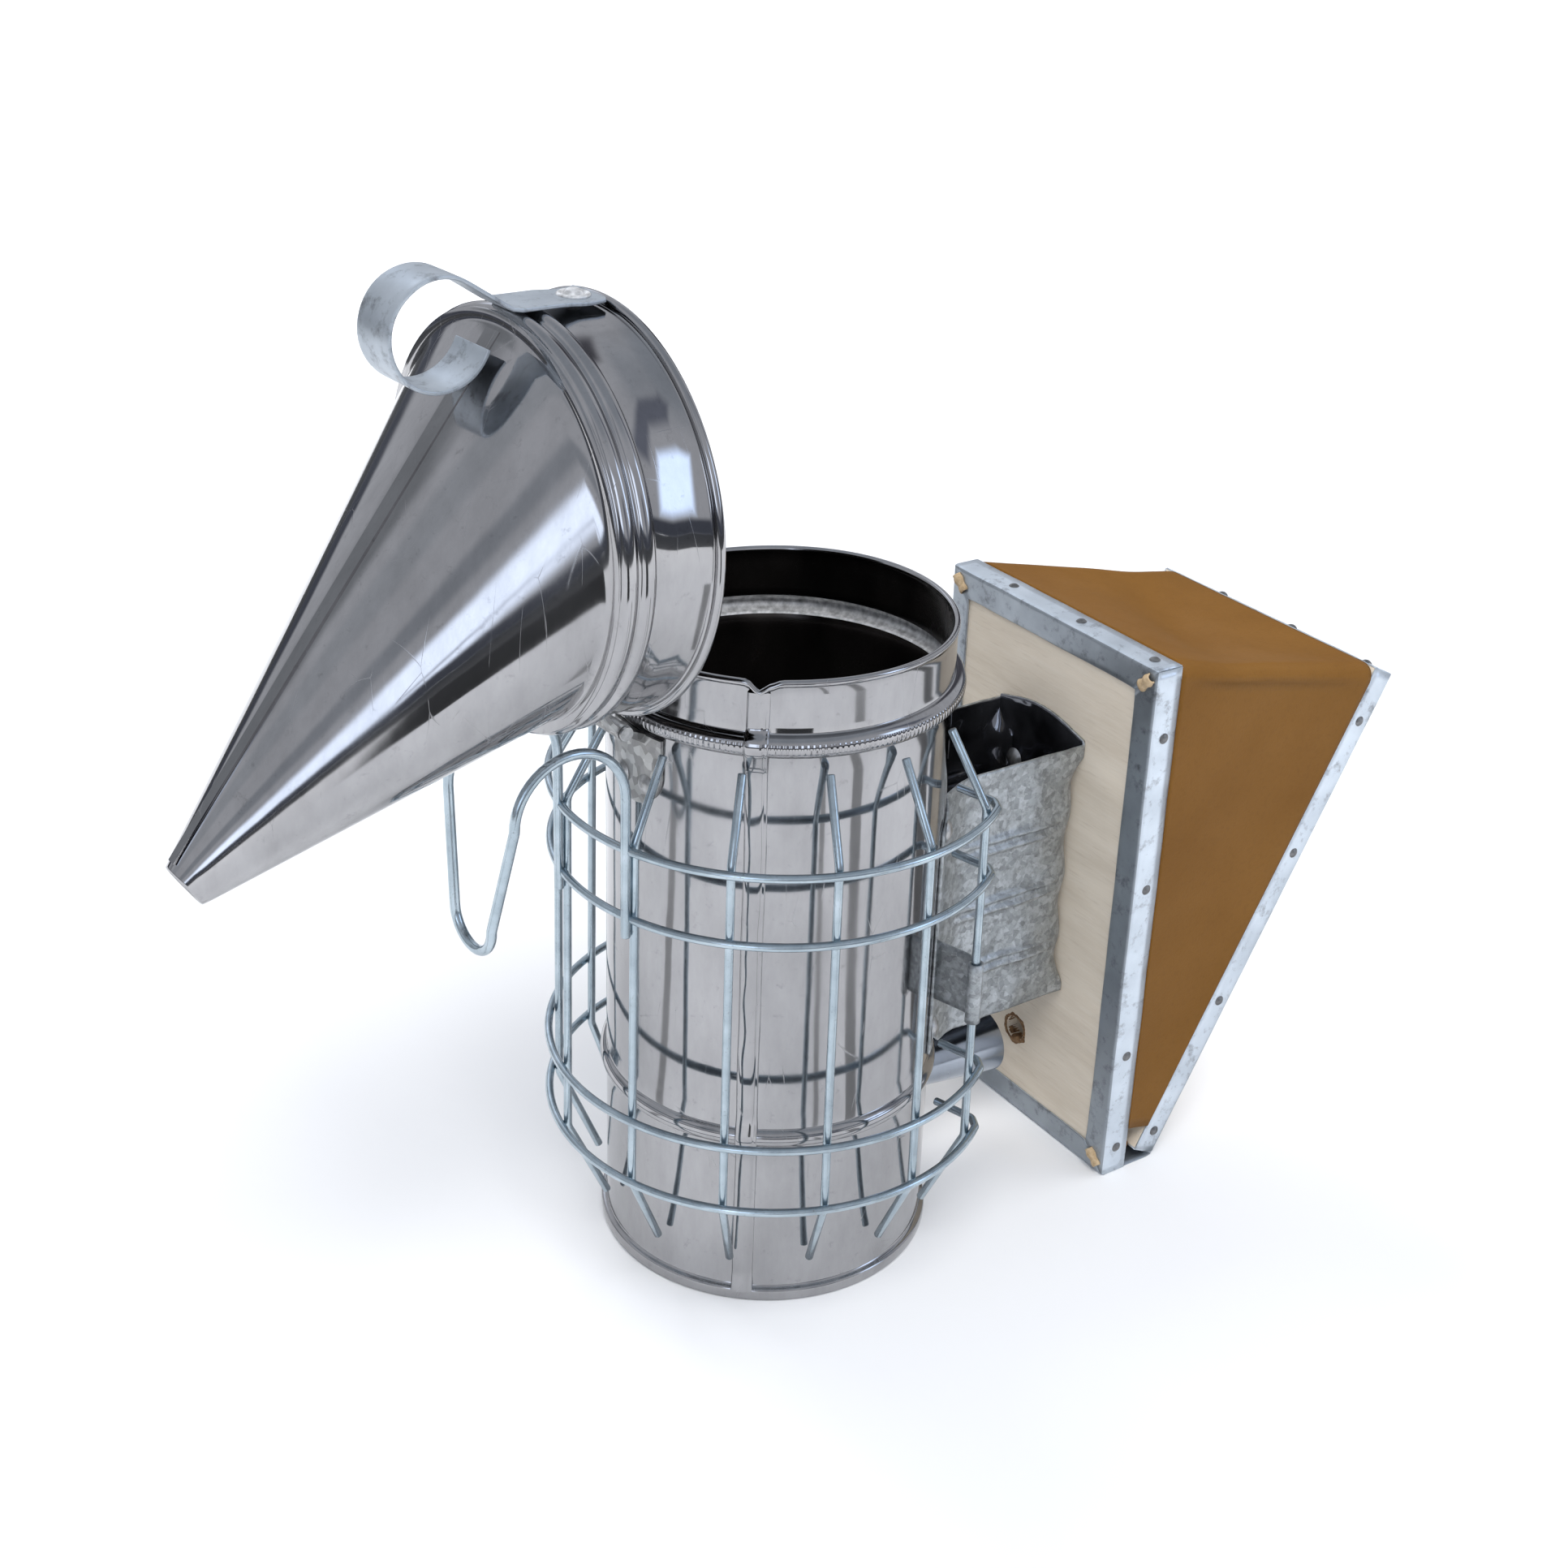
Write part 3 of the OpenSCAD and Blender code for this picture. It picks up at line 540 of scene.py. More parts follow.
def build_collar():
    outer = arc_points(54.6, 1.3, 1.3, 235, 490, 20)
    outer += level_rows(53.5, 3.0, 19.3) + arc_points(52.7, 21.8, 2.4, -68, 62, 12)
    outer += arc_points(52.7, 27.2, 2.4, -62, 68, 12) + [(53.5, 29.7), (53.4, 30.0)]
    inner = level_rows(52.7, 29.9, 0.3)
    collar = lathe("collar_skin", outer + inner + outer[:1], len(outer), ROUND, LID_FRAME, "lid",
                   "polished_steel")
    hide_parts("lid_collar")


def build_cone():
    """Skin between the foot circle and the leaning nozzle circle, turned in over the nozzle's lip."""
    foot_r, foot_h = 51.0, 30.7
    nose = Vector((-77.0, 0, 119.5))
    lean = math.radians(-33)
    across = Vector((math.cos(lean), 0, -math.sin(lean)))
    along = Vector((math.sin(lean), 0, math.cos(lean)))

    def ring(foot_radius, share, nose_radius, ahead=0.0, sink=0.0):
        points = []
        for k in range(ROUND):
            a = 2 * math.pi * k / ROUND
            low = Vector((foot_radius * math.cos(a), foot_radius * math.sin(a), foot_h - sink))
            high = nose + across * nose_radius * math.cos(a) + Vector((0, nose_radius * math.sin(a), 0))
            points.append(LID_FRAME @ ((low.lerp(high, share) + along * ahead) * MM))
        return points

    rows = [ring(53.9, 0, 6.5, 0, 0.7), ring(54.1, 0, 6.5, 0, 0.4), ring(53.9, 0, 6.5, 0, 0.05),
            ring(52.0, 0, 6.5), ring(51.4, 0.001, 6.5), ring(51.0, 0.006, 6.5)]
    rows += [ring(foot_r, k / 40, 6.5) for k in range(1, 40)]
    rows += [ring(foot_r, 1, 6.5, -0.4), ring(foot_r, 1, 6.35, 0.0), ring(foot_r, 1, 5.9, 0.1)]
    inner_from = len(rows)
    rows += [ring(foot_r, 1, 5.6, -0.4)] + [ring(foot_r - 0.8, 1 - k / 20, 5.7) for k in range(1, 20)]
    rows += [ring(foot_r - 0.8, 0, 5.7), ring(foot_r + 1, 0, 5.7, 0, 0.75)]
    mesh = grid_mesh("cone_skin", rows, closed_u=True)
    cone = add_piece("cone_skin", mesh, "lid", "polished_steel")
    mesh.materials.append(INNER_STEEL)
    for polygon in mesh.polygons:
        polygon.material_index = 1 if polygon.index // ROUND >= inner_from else 0
    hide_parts("lid_cone")


# ---------- heat guard wires, with real bends ----------
def polar(az, r, z):
    a = math.radians(az)
    return Vector((r * math.cos(a), r * math.sin(a), z)) * MM


def build_strap():
    """Finger strap: flat over the collar and its beads, bent up, then curled into a loop over the cone."""
    centre, loop_r = Vector((52.3, 50)), 13.8
    foot = Vector((55.75, 29.5))
    gap = centre - foot
    lean = math.atan2(gap.y, gap.x) - math.asin(loop_r / gap.length)
    flat = [(55.6, 2.9), (55.45, 4.5), (55.3, 6.5), (55.25, 8.5), (55.3, 10.5), (55.5, 13)]
    flat += [(55.7, z) for z in (16, 19, 22, 25, 27.5)]
    path = [Vector(p) for p in flat]
    bend = Vector((math.cos(lean), math.sin(lean)))
    path += [foot + bend * 0.9, foot + bend * 3.0]
    reach = bend.dot(gap)
    path += [foot + bend * reach * share for share in (0.45, 0.7, 0.9)]
    first = lean - math.pi / 2
    path += [centre + Vector((math.cos(t), math.sin(t))) * loop_r
             for t in (first + math.radians(281) * k / 40 for k in range(41))]
    rows = []
    for number, p in enumerate(path):
        row = []
        for k in range(11):
            y = -7.5 + 1.5 * k
            trim = 0.9 if number == 0 and k in (0, 10) else 0
            y *= 1 + 0.02 * noise.noise(Vector((number * 0.25, y, 4))) if k in (0, 10) else 1
            cup = 0.12 * noise.noise(Vector((number * 0.14, y * 0.08, 7)))
            row.append(LID_FRAME @ (Vector((p.x + cup, y, p.y + trim)) * MM))
        rows.append(row)
    strap = add_piece("finger_strap", grid_mesh("finger_strap", rows), "lid", "galvanised_sheet", LOOP_ZINC)
    thick = strap.modifiers.new("thickness", "SOLIDIFY")
    thick.thickness = 1.0 * MM
    thick.offset = 0
    edge = strap.modifiers.new("edge", "BEVEL")
    edge.width = 0.2 * MM
    edge.segments = 2
    edge.limit_method = "ANGLE"
    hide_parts("lid_loop")
    profile = [(0.01, 1.9), (1.2, 1.8), (2.1, 1.35), (2.6, 0.75), (2.75, 0.4), (3.1, 0.35), (3.5, 0.75), (4.0, 0.78),
               (4.4, 0.4), (4.45, -0.1), (2.0, -0.2), (2.0, -3.2), (0.01, -3.2)]
    rows = [[LID_FRAME @ (Vector((55.75 + up, r * math.sin(t), 8.5 + r * math.cos(t))) * MM)
             for t in (2 * math.pi * k / 32 for k in range(32))] for r, up in profile]
    rivet = add_piece("strap_rivet", grid_mesh("strap_rivet", rows, closed_u=True), "lid", "polished_steel", RIVET_HEAD)
    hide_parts("lid_loop_rivet")


def build_guard():
    wire_r, can_r = 1.25 * MM, 50
    low_r, high_r = 67.8, 66.8
    for number, (z, r) in enumerate(((154.8, high_r), (133.3, high_r - 0.4), (67.0, low_r), (45.5, low_r)), 1):
        start = [polar(49, can_r + 3.6, z), polar(54.6, r - 2, z), polar(58, r, z)]
        arc = [polar(az, r, z) for az in range(62, 299, 2)]
        finish = [polar(-a, math.hypot(p.x, p.y) / MM, z) for a, p in zip((58, 54.6, 49), start[::-1])]
        bend_in = round_path([start[0], start[1], start[2], arc[0]], 2.5 * MM)[:-1]
        bend_out = round_path([arc[-1], finish[0], finish[1], finish[2]], 2.5 * MM)[1:]
        name = f"guard_wire_{number}"
        ring = add_piece(name, tube_mesh(name, [bend_in + arc + bend_out], wire_r, 16), "can", "zinc_wire")
        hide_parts(f"guard_ring_{number}")
    foot_r, top_r = low_r - 2.4, high_r - 2.4
    paths = []
    for az in (61, 87, 113, 139, 165):
        for side in (-1, 1):
            corners = [polar(side * az, can_r + 3, 17), polar(side * az, foot_r, 44),
                       polar(side * az, top_r, 156), polar(side * az, can_r + 2.6, 178)]
            paths.append(round_path(corners, 5 * MM))
    uprights = add_piece("guard_wire_uprights", tube_mesh("guard_wire_uprights", paths, wire_r, 16),
                         "can", "zinc_wire")
    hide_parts("guard_uprights")


def build_hook():
    arch = Vector((-82.7, 16.7, 171))
    arch_r = 17.5
    tail = Vector((-103.6, 9.5, 139))
    over = [arch + Vector((x, 0, z)) for x, z in arc_points(0, 0, arch_r, 0, 180, 24)]
    one = [Vector((arch.x + arch_r, arch.y, 128))] + over + [tail]
    low = [Vector((tail.x, y, tail.z + z)) for y, z in arc_points(0, 0, tail.y, 0, -180, 24)]
    other = [Vector((p.x, -p.y, p.z)) for p in one[::-1]]
    path = [p * MM for p in one + low[1:-1] + other]
    hook = add_piece("hook_wire", tube_mesh("hook_wire", [path], 1.45 * MM, 16), "can", "zinc_wire")
    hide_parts("hanging_hook")


# ---------- bellows ----------
OPEN = math.radians(27.5)
SQUEEZE = math.radians(-JOINTS["bellows_squeeze"]["range_deg"][0])
FOLD_FRAME = Matrix.Translation(FOLD) @ YAWED
GAP = 2.15
FRONT_TOP, REAR_TOP, HALF = 174.8, 175.8, 48.3


def fan_point(share, reach, y, out=0.0):
    """Point between the boards' inner faces: share 0 lies on the front board, 1 on the rear board."""
    front = Vector((-GAP, y, reach[0]))
    rear = Vector((GAP * math.cos(OPEN) + reach[1] * math.sin(OPEN), y,
                   -GAP * math.sin(OPEN) + reach[1] * math.cos(OPEN)))
    return front.lerp(rear, share) + Vector((0, 0, out))


def fan_weights(piece):
    """Bakes the piece's placement into its mesh."""
    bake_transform(piece)


def leather_rows(inset):
    """Rows across the gap, each running up one side, over the top and down the other."""
    corner, rows = 4.0, []
    half = HALF - inset
    sides = [(-half, 5 + 168 * k / 40) for k in range(41)]
    turn = [(-half + corner - corner * math.cos(t), -corner + corner * math.sin(t))
            for t in (math.pi / 2 * k / 6 for k in range(1, 7))]
    for v in range(49):
        share = v / 48
        row = []
        for y, h in sides:
            lift = h / 173 * (1 - corner / 173)
            reach = (5 + (FRONT_TOP - 5) * lift, 5 + (REAR_TOP - 5) * lift)
            row.append((fan_point(share, reach, y), h / 173, "side"))
        for y, dz in turn:
            reach = (FRONT_TOP + dz - inset, REAR_TOP + dz - inset)
            row.append((fan_point(share, reach, y), 1.0, "corner"))
        for k in range(1, 48):
            y = (-half + corner) * (1 - 2 * k / 48)
            row.append((fan_point(share, (FRONT_TOP - inset, REAR_TOP - inset), y), 1 - abs(2 * k / 48 - 1), "top"))
        mirrored = [(Vector((p.x, -p.y, p.z)), lift, kind) for p, lift, kind in row[:47][::-1]]
        rows.append((share, row + mirrored))
    return rows


def build_leather():
    """The skin sags on top between the boards, with a soft crease running to the far corner."""
    grid = []
    for share, row in leather_rows(0):
        bow = 4 * share * (1 - share)
        points = []
        for p, lift, kind in row:
            p = p.copy()
            across = p.y / HALF
            if kind != "side":
                middle = 1 - across ** 2
                crease = math.exp(-((share - 0.52 - 0.3 * across) / 0.16) ** 2)
                p.z -= bow * (3.2 * middle + 2.6 * crease * (0.35 + 0.65 * middle))
                p.z += 1.2 * bow * math.exp(-((share - 0.2) / 0.18) ** 2) * middle
            else:
                inward = bow * (0.9 * math.sin(math.pi * lift) + 1.5 * lift ** 6)
                wave = 0.5 * bow * noise.noise(Vector((p.x, p.y, p.z)) * 0.03)
                p.y -= math.copysign(inward + wave, p.y)
            points.append(FOLD_FRAME @ (p * MM))
        grid.append(points)
    mesh = grid_mesh("bellows_skin", grid)
    skin = add_piece("bellows_skin", mesh, None, "tan_leather")
    thick = skin.modifiers.new("thickness", "SOLIDIFY")
    thick.thickness = 1.5 * MM
    thick.offset = -1
    bake_modifiers(skin)
    fan_weights(skin)
    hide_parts("bellows_leather")


def bake_modifiers(piece):
    shown = piece.evaluated_get(bpy.context.evaluated_depsgraph_get())
    mesh = bpy.data.meshes.new_from_object(shown)
    piece.modifiers.clear()
    piece.data = mesh


def build_spring():
    """Coil of round wire with closed end turns, halfway up between the boards."""
    turns, coil_r, lift = 5.5, 15, 92
    half_gap = lift * math.tan(OPEN / 2) - 3.2
    tilt = Matrix.Rotation(OPEN / 2, 4, "Y")
    path = []
    for k in range(331):
        t = k / 330
        a = 2 * math.pi * turns * t
        ease = t + 0.045 * math.sin(4 * math.pi * t)
        p = Vector(((2 * ease - 1) * half_gap, coil_r * math.cos(a), coil_r * math.sin(a) + lift))
        path.append(FOLD_FRAME @ tilt @ (p * MM))
    spring = add_piece("spring_coil", tube_mesh("spring_coil", [path], 1.0 * MM, 12), None, "fasteners")
    fan_weights(spring)
    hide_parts("bellows_spring")


# ---------- metal edging of the boards ----------
FRONT_PLACE = YAWED @ Matrix.Translation(Vector((110.5, 0, 0)) * MM)
REAR_PLACE = (FOLD_FRAME @ Matrix.Rotation(OPEN, 4, "Y") @ Matrix.Translation(Vector((2.2, 0, 0.4)) * MM)
              @ Matrix.Scale(-1, 4, (1, 0, 0)))
STRIP_W, STRIP_T, BOARD_T, EDGE = 9.0, 0.6, 9.0, 49.5


def strip_profile():
    """Closed L section: (distance in from the corner, distance back along the edge)."""
    bend = 1.5
    out = [(STRIP_W, 0.15), (STRIP_W - 0.3, 0)] + [(STRIP_W * k / 4, 0) for k in (3, 2, 1)]
    out += [(bend - bend * math.sin(t), bend - bend * math.cos(t)) for t in (math.pi / 12 * k for k in range(7))]
    out += [(0, 3.5), (0, 6.5), (0, BOARD_T + STRIP_T)]
    tight = bend - STRIP_T
    back = [(STRIP_T, BOARD_T + STRIP_T), (STRIP_T, bend)]
    back += [(bend - tight * math.cos(t), bend - tight * math.sin(t)) for t in (math.pi / 6 * k for k in range(1, 4))]
    return out + back + [(STRIP_W, STRIP_T)]


def edging(name, node, body, place, start, end, to_world, seed):
    """Strip along an edge; to_world turns (in, back, along) into the board's own frame."""
    rows = []
    count = int(abs(end - start) / 3)
    profile = strip_profile()
    for k in range(count + 1):
        row = []
        for into, back in profile:
            mitre = 0 if back > 2 else max(0.0, into - 0.4)
            low, high = start + mitre, end - mitre
            at = low + (high - low) * k / count
            ripple = 0.16 * noise.noise(Vector((at * 0.06, seed, into * 0.15)))
            flare = 0.5 * math.exp(-min(k, count - k) / 1.2) * (into / STRIP_W) ** 2
            row.append(place @ (Vector(to_world(into + (ripple if back > 0 else 0), back - ripple * 0.5 - flare, at)) * MM))
        rows.append(row)
    piece = add_piece(name, grid_mesh(name, rows, closed_u=True), body, "zinc_edging")
    bm = bmesh.new()
    bm.from_mesh(piece.data)
    bmesh.ops.holes_fill(bm, edges=[e for e in bm.edges if e.is_boundary], sides=0)
    bmesh.ops.recalc_face_normals(bm, faces=bm.faces)
    bm.to_mesh(piece.data)
    bm.free()
    # Faces turned out from the board take the darker zinc: painted shade on the strips' face legs.
    piece.data.materials.append(SHADED_FACE_ZINC)
    away = place.to_3x3() @ Vector((-1, 0, 0))
    for polygon in piece.data.polygons:
        if polygon.normal.dot(away.normalized()) > 0.75:
            polygon.material_index = 1
    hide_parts(node)


def build_edging():
    face = -BOARD_T - STRIP_T - 0.02
    for board, body, place, height in (("front", "can", FRONT_PLACE, 182.0), ("rear", "rear_board", REAR_PLACE, 177.0)):
        for side, sign, seed in (("left", 1, 1.3), ("right", -1, 7.7)):
            edging(f"{board}_strip_{side}", f"{board}_edge_{side}", body, place, 0.4, height - 0.4,
                   lambda into, back, at, sign=sign: (face + back, sign * (EDGE - into), at), seed + height)
        edging(f"{board}_strip_top", f"{board}_edge_top", body, place, -EDGE + 0.4, EDGE - 0.4,
               lambda into, back, at, top=height: (face + back, at, top - into), 3.1 + height)
        edging(f"{board}_strip_bottom", f"{board}_edge_bottom", body, place, -EDGE + 0.4, EDGE - 0.4,
               lambda into, back, at: (face + back, at, into), 5.9 + height)


def build_corner_folds():
    """Curled scraps of hide that show where two strips meet at the front board's corners."""
    rows = []
    for u in range(13):
        row = []
        for v in range(10):
            t = math.radians(200 * u / 12)
            r = 1.6 + 0.25 * math.sin(v * 1.3)
            row.append(Vector((-BOARD_T - STRIP_T - 0.2 - r * math.sin(t) * (0.5 + 0.05 * v), r * math.cos(t), -3.1 + 6.2 * v / 9)))
        rows.append(row)
    for number, (sign, z, tilt) in enumerate(((1, 177.0, 45), (-1, 177.0, -45), (1, 5.2, -45), (-1, 5.2, 45)), 1):
        turn = Matrix.Translation(Vector((0, sign * 44.8, z)) * MM) @ Matrix.Rotation(math.radians(-tilt), 4, "X")
        name = f"corner_fold_{number}"
        mesh = grid_mesh(name, [[FRONT_PLACE @ turn @ (p * MM) for p in row] for row in rows])
        fold = add_piece(name, mesh, "can", "tan_leather", HIDE)
        thick = fold.modifiers.new("thickness", "SOLIDIFY")
        thick.thickness = 0.5 * MM
        thick.offset = 0


def bracket_path(corner):
    """Plan of one side of the bracket, from the web's middle out to the wing's end."""
    wall, face, near = 21.25, 101.4, 50.1
    points = [(face, y) for y in (0, 4, 8, 12, 14.5)]
    points += [(face - corner + corner * math.cos(t), wall - corner + corner * math.sin(t))
               for t in (math.pi / 2 * k / 8 for k in range(9))]
    points += [(face - corner - (face - corner - 57.5) * k / 12, wall) for k in range(1, 12)]
    points += [(56.2, wall + 0.1), (52.5, wall + 1.0), (48.2, wall + 3.0)]
    points += [((near + 0.9) * math.cos(math.radians(a)), (near + 0.9) * math.sin(math.radians(a)))
               for a in (31, 34, 37, 40, 43, 46, 49)]
    return points


def build_bracket():
    """Bent sheet: pressed ribs, an edge that puckers along the board, an arched web and scalloped wings."""
    levels = 124
    columns = len(bracket_path(3))
    rows = []
    for v in range(levels + 1):
        row = []
        for side in (-1, 1):
            share = v / levels
            made = []
            for u in range(columns):
                start = 54 if u < 5 else 57
                if u >= columns - 7:
                    start, stop = 62.5 + 0.4 * (u - columns + 7), 146 - 0.05 * (u - columns + 8) ** 2.4
                elif u < 10:
                    y = bracket_path(3)[u][1]
                    stop = 105 + math.sqrt(46 ** 2 - y ** 2)
                else:
                    stop = 146
                z = start + (stop - start) * share
                pucker = 8.5 + 1.6 * math.cos(z * math.radians(16)) - 8.5 * math.exp(-((z - 146) / 9) ** 2)
                pucker = max(1.0, pucker - 7.0 * math.exp(-((z - 57) / 9) ** 2))
                x, y = bracket_path(pucker)[u]
                flat = max(0.0, min(1.0, (u - 12) / 3)) * max(0.0, min(1.0, (columns - 9 - u) / 2))
                rib = sum(math.exp(-((z - at) / 0.9) ** 2) for at in (75.5, 79, 97, 100.5, 118.5, 122))
                dent = 0.9 * noise.noise(Vector((x * 0.09, side * 3, z * 0.09)))
                push = flat * (1.5 * rib + dent) - 1.2 * (0.35 if 4 < u < 15 else 0) * max(0, dent)
                made.append(YAWED @ (Vector((x, side * (y + push), z)) * MM))
            row += made[:0:-1] if side < 0 else made
        rows.append(row)
    mesh = grid_mesh("bracket_skin", rows)
    width = len(rows[0]) - 1
    slot_turn = math.radians(41)
    bm = bmesh.new()
    bm.from_mesh(mesh)
    gone = []
    for face in bm.faces:
        p = YAWED.inverted() @ face.calc_center_median()
        a = math.atan2(abs(p.y), p.x)
        if math.hypot(p.x, p.y) < 52 * MM and abs(a - slot_turn) < 0.055 and 84.5 * MM < p.z < 97 * MM:
            gone.append(face)
    bmesh.ops.delete(bm, geom=gone, context="FACES")
    bm.to_mesh(mesh)
    bm.free()
    skin = add_piece("bracket_skin", mesh, "can", "galvanised_sheet", BRACKET)
    # The inner faces take the near-black gloss: painted shade inside the bracket, with painted highlights.
    skin.data.materials.append(BRACKET_PAINTED_SHADE)
    thick = skin.modifiers.new("thickness", "SOLIDIFY")
    thick.thickness = 0.9 * MM
    thick.offset = -1
    thick.material_offset = 1
    bake_modifiers(skin)
    build_bracket_tabs()
    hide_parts("bellows_bracket")
    return width


def build_bracket_tabs():
    """Tongue of the same sheet on each side, wrapped round the last upright wire."""
    for name, side in (("bracket_tab_left", 1), ("bracket_tab_right", -1)):
        root = math.radians(side * 48) + YAW
        start = Vector((50.6 * math.cos(root), 50.6 * math.sin(root)))
        post_az = math.radians(side * 61)
        post = Vector((65.0 * math.cos(post_az), 65.0 * math.sin(post_az)))
        run = (post - start).normalized()
        out = Vector((run.y, -run.x)) * side
        plan = [start + (post - start) * k / 6 + out * 1.9 * min(1, k / 4) for k in range(6)]
        wrap_r = 1.95
        first = math.atan2(out.y, out.x)
        for k in range(13):
            t = first - side * math.radians(285) * k / 12 * -1
            plan.append(post + Vector((math.cos(t), math.sin(t))) * wrap_r)
        rows = []
        for v in range(9):
            z = 85 + 20 * v / 8
            lean = (95 - 44) / 112
            inward = 1 - ((z - 95) / 112) / 65
            rows.append([Vector((p.x * inward, p.y * inward, z + lean * 0)) * MM for p in plan])
        tab = add_piece(name, grid_mesh(name, rows), "can", "galvanised_sheet", BRACKET)
        thick = tab.modifiers.new("thickness", "SOLIDIFY")
        thick.thickness = 0.7 * MM
        thick.offset = 0


def build_fold_wrap():
    """Zinc strip that closes the fold from below, from one board's foot to the other's."""
    section = [(-2.6, -2.0), (-2.5, -4.8), (-1.6, -5.8), (0.5, -5.95), (4.0, -5.9), (8.0, -5.7), (10.0, -5.2), (10.4, -4.2)]
    rows = []
    for k in range(34):
        y = -48.9 + 97.8 * k / 33
        sag = 0.12 * noise.noise(Vector((y * 0.05, 4, 1)))
        rows.append([FOLD_FRAME @ (Vector((x, y, z + sag * (1 - abs(x - 4) / 7))) * MM) for x, z in section])
    # The wrap takes the darker face zinc: painted shade under the bellows.
    wrap = add_piece("fold_wrap", grid_mesh("fold_wrap", rows), None, "zinc_edging", SHADED_FACE_ZINC)
    thick = wrap.modifiers.new("thickness", "SOLIDIFY")
    thick.thickness = 0.5 * MM
    thick.offset = 0
    bake_modifiers(wrap)
    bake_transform(wrap)


def build_hole_rim():
    """Torn edge of the drilled air hole, proud of the board's face in splinters."""
    rows = []
    for j, (r, lift) in enumerate(((4.3, -5.0), (4.2, -1.0), (4.35, 0.1), (4.9, 0.28), (5.4, 0.12), (5.8, -0.08))):
        row = []
        for k in range(72):
            a = 2 * math.pi * k / 72
            rough = noise.noise(Vector((3 * math.cos(a), 3 * math.sin(a), 1.7)))
            fine = noise.noise(Vector((9 * math.cos(a), 9 * math.sin(a), j * 0.8)))
            radius = r + (0.9 * max(0, j - 2) / 3) * rough + 0.25 * fine
            radius -= 1.2 * math.exp(-((a - 4.4) / 0.3) ** 2) if j in (1, 2) else 0
            row.append(FRONT_PLACE @ (Vector((-BOARD_T - lift * (1 + 0.5 * fine), radius * math.cos(a),
                                              30 + radius * math.sin(a))) * MM))
        rows.append(row)
    add_piece("air_hole_rim", grid_mesh("air_hole_rim", rows, closed_u=True), "can", "plywood", TORN_WOOD)


build_can()
build_collar()
build_cone()
build_strap()
build_guard()
build_hook()
build_leather()
build_spring()
build_edging()
build_bracket()
build_fold_wrap()
build_corner_folds()
build_hole_rim()


# ---------- floor, light and camera ----------
ROOM_GREY = (0.62, 0.64, 0.69, 1)
BACKDROP = (0.98, 0.98, 0.99, 1)
# azimuth, elevation, half width, half height and soft edge in degrees, then the colour
ROOM_CARDS = [
    (0, 80, 360, 42, 25, (0.42, 0.46, 0.52)),
    (152, 26, 14, 20, 8, (0.52, 0.55, 0.60)),
    (122, 20, 13, 14, 8, (0.32, 0.34, 0.37)),
    (-142, 14, 12, 16, 6, (2.1, 2.35, 2.8)),
    (-137, 12, 1.5, 16, 2, (0.5, 0.55, 0.65)),
    (-52, 20, 11, 17, 7, (1.9, 2.3, 3.0)),
    (0, 0, 360, 5, 3, (0.10, 0.11, 0.14)),
    (-167, 26, 9, 20, 6, (0.40, 0.43, 0.48)),
    (-28, 40, 12, 18, 8, (0.22, 0.24, 0.3)),
    (-90, 12, 14, 14, 8, (0.28, 0.30, 0.36)),
    (30, 15, 12, 30, 8, (0.10, 0.10, 0.12)),
    (80, 30, 14, 14, 10, (1.3, 1.4, 1.6)),
]
# azimuth, half width in degrees, near and far edge in metres, then how pale the cloth is
CLOTHS = [(-119, 11, 0.6, 3.6, 0.03), (34, 15, 0.13, 0.9, 0.02), (-78, 3.5, 0.13, 0.5, 0.3), (-22, 5, 0.12, 0.6, 0.12),
          (165, 2.5, 0.13, 0.6, 0.35), (-100, 1.5, 0.12, 0.4, 0.35), (180, 180, 1.6, 5.0, 0.1)]


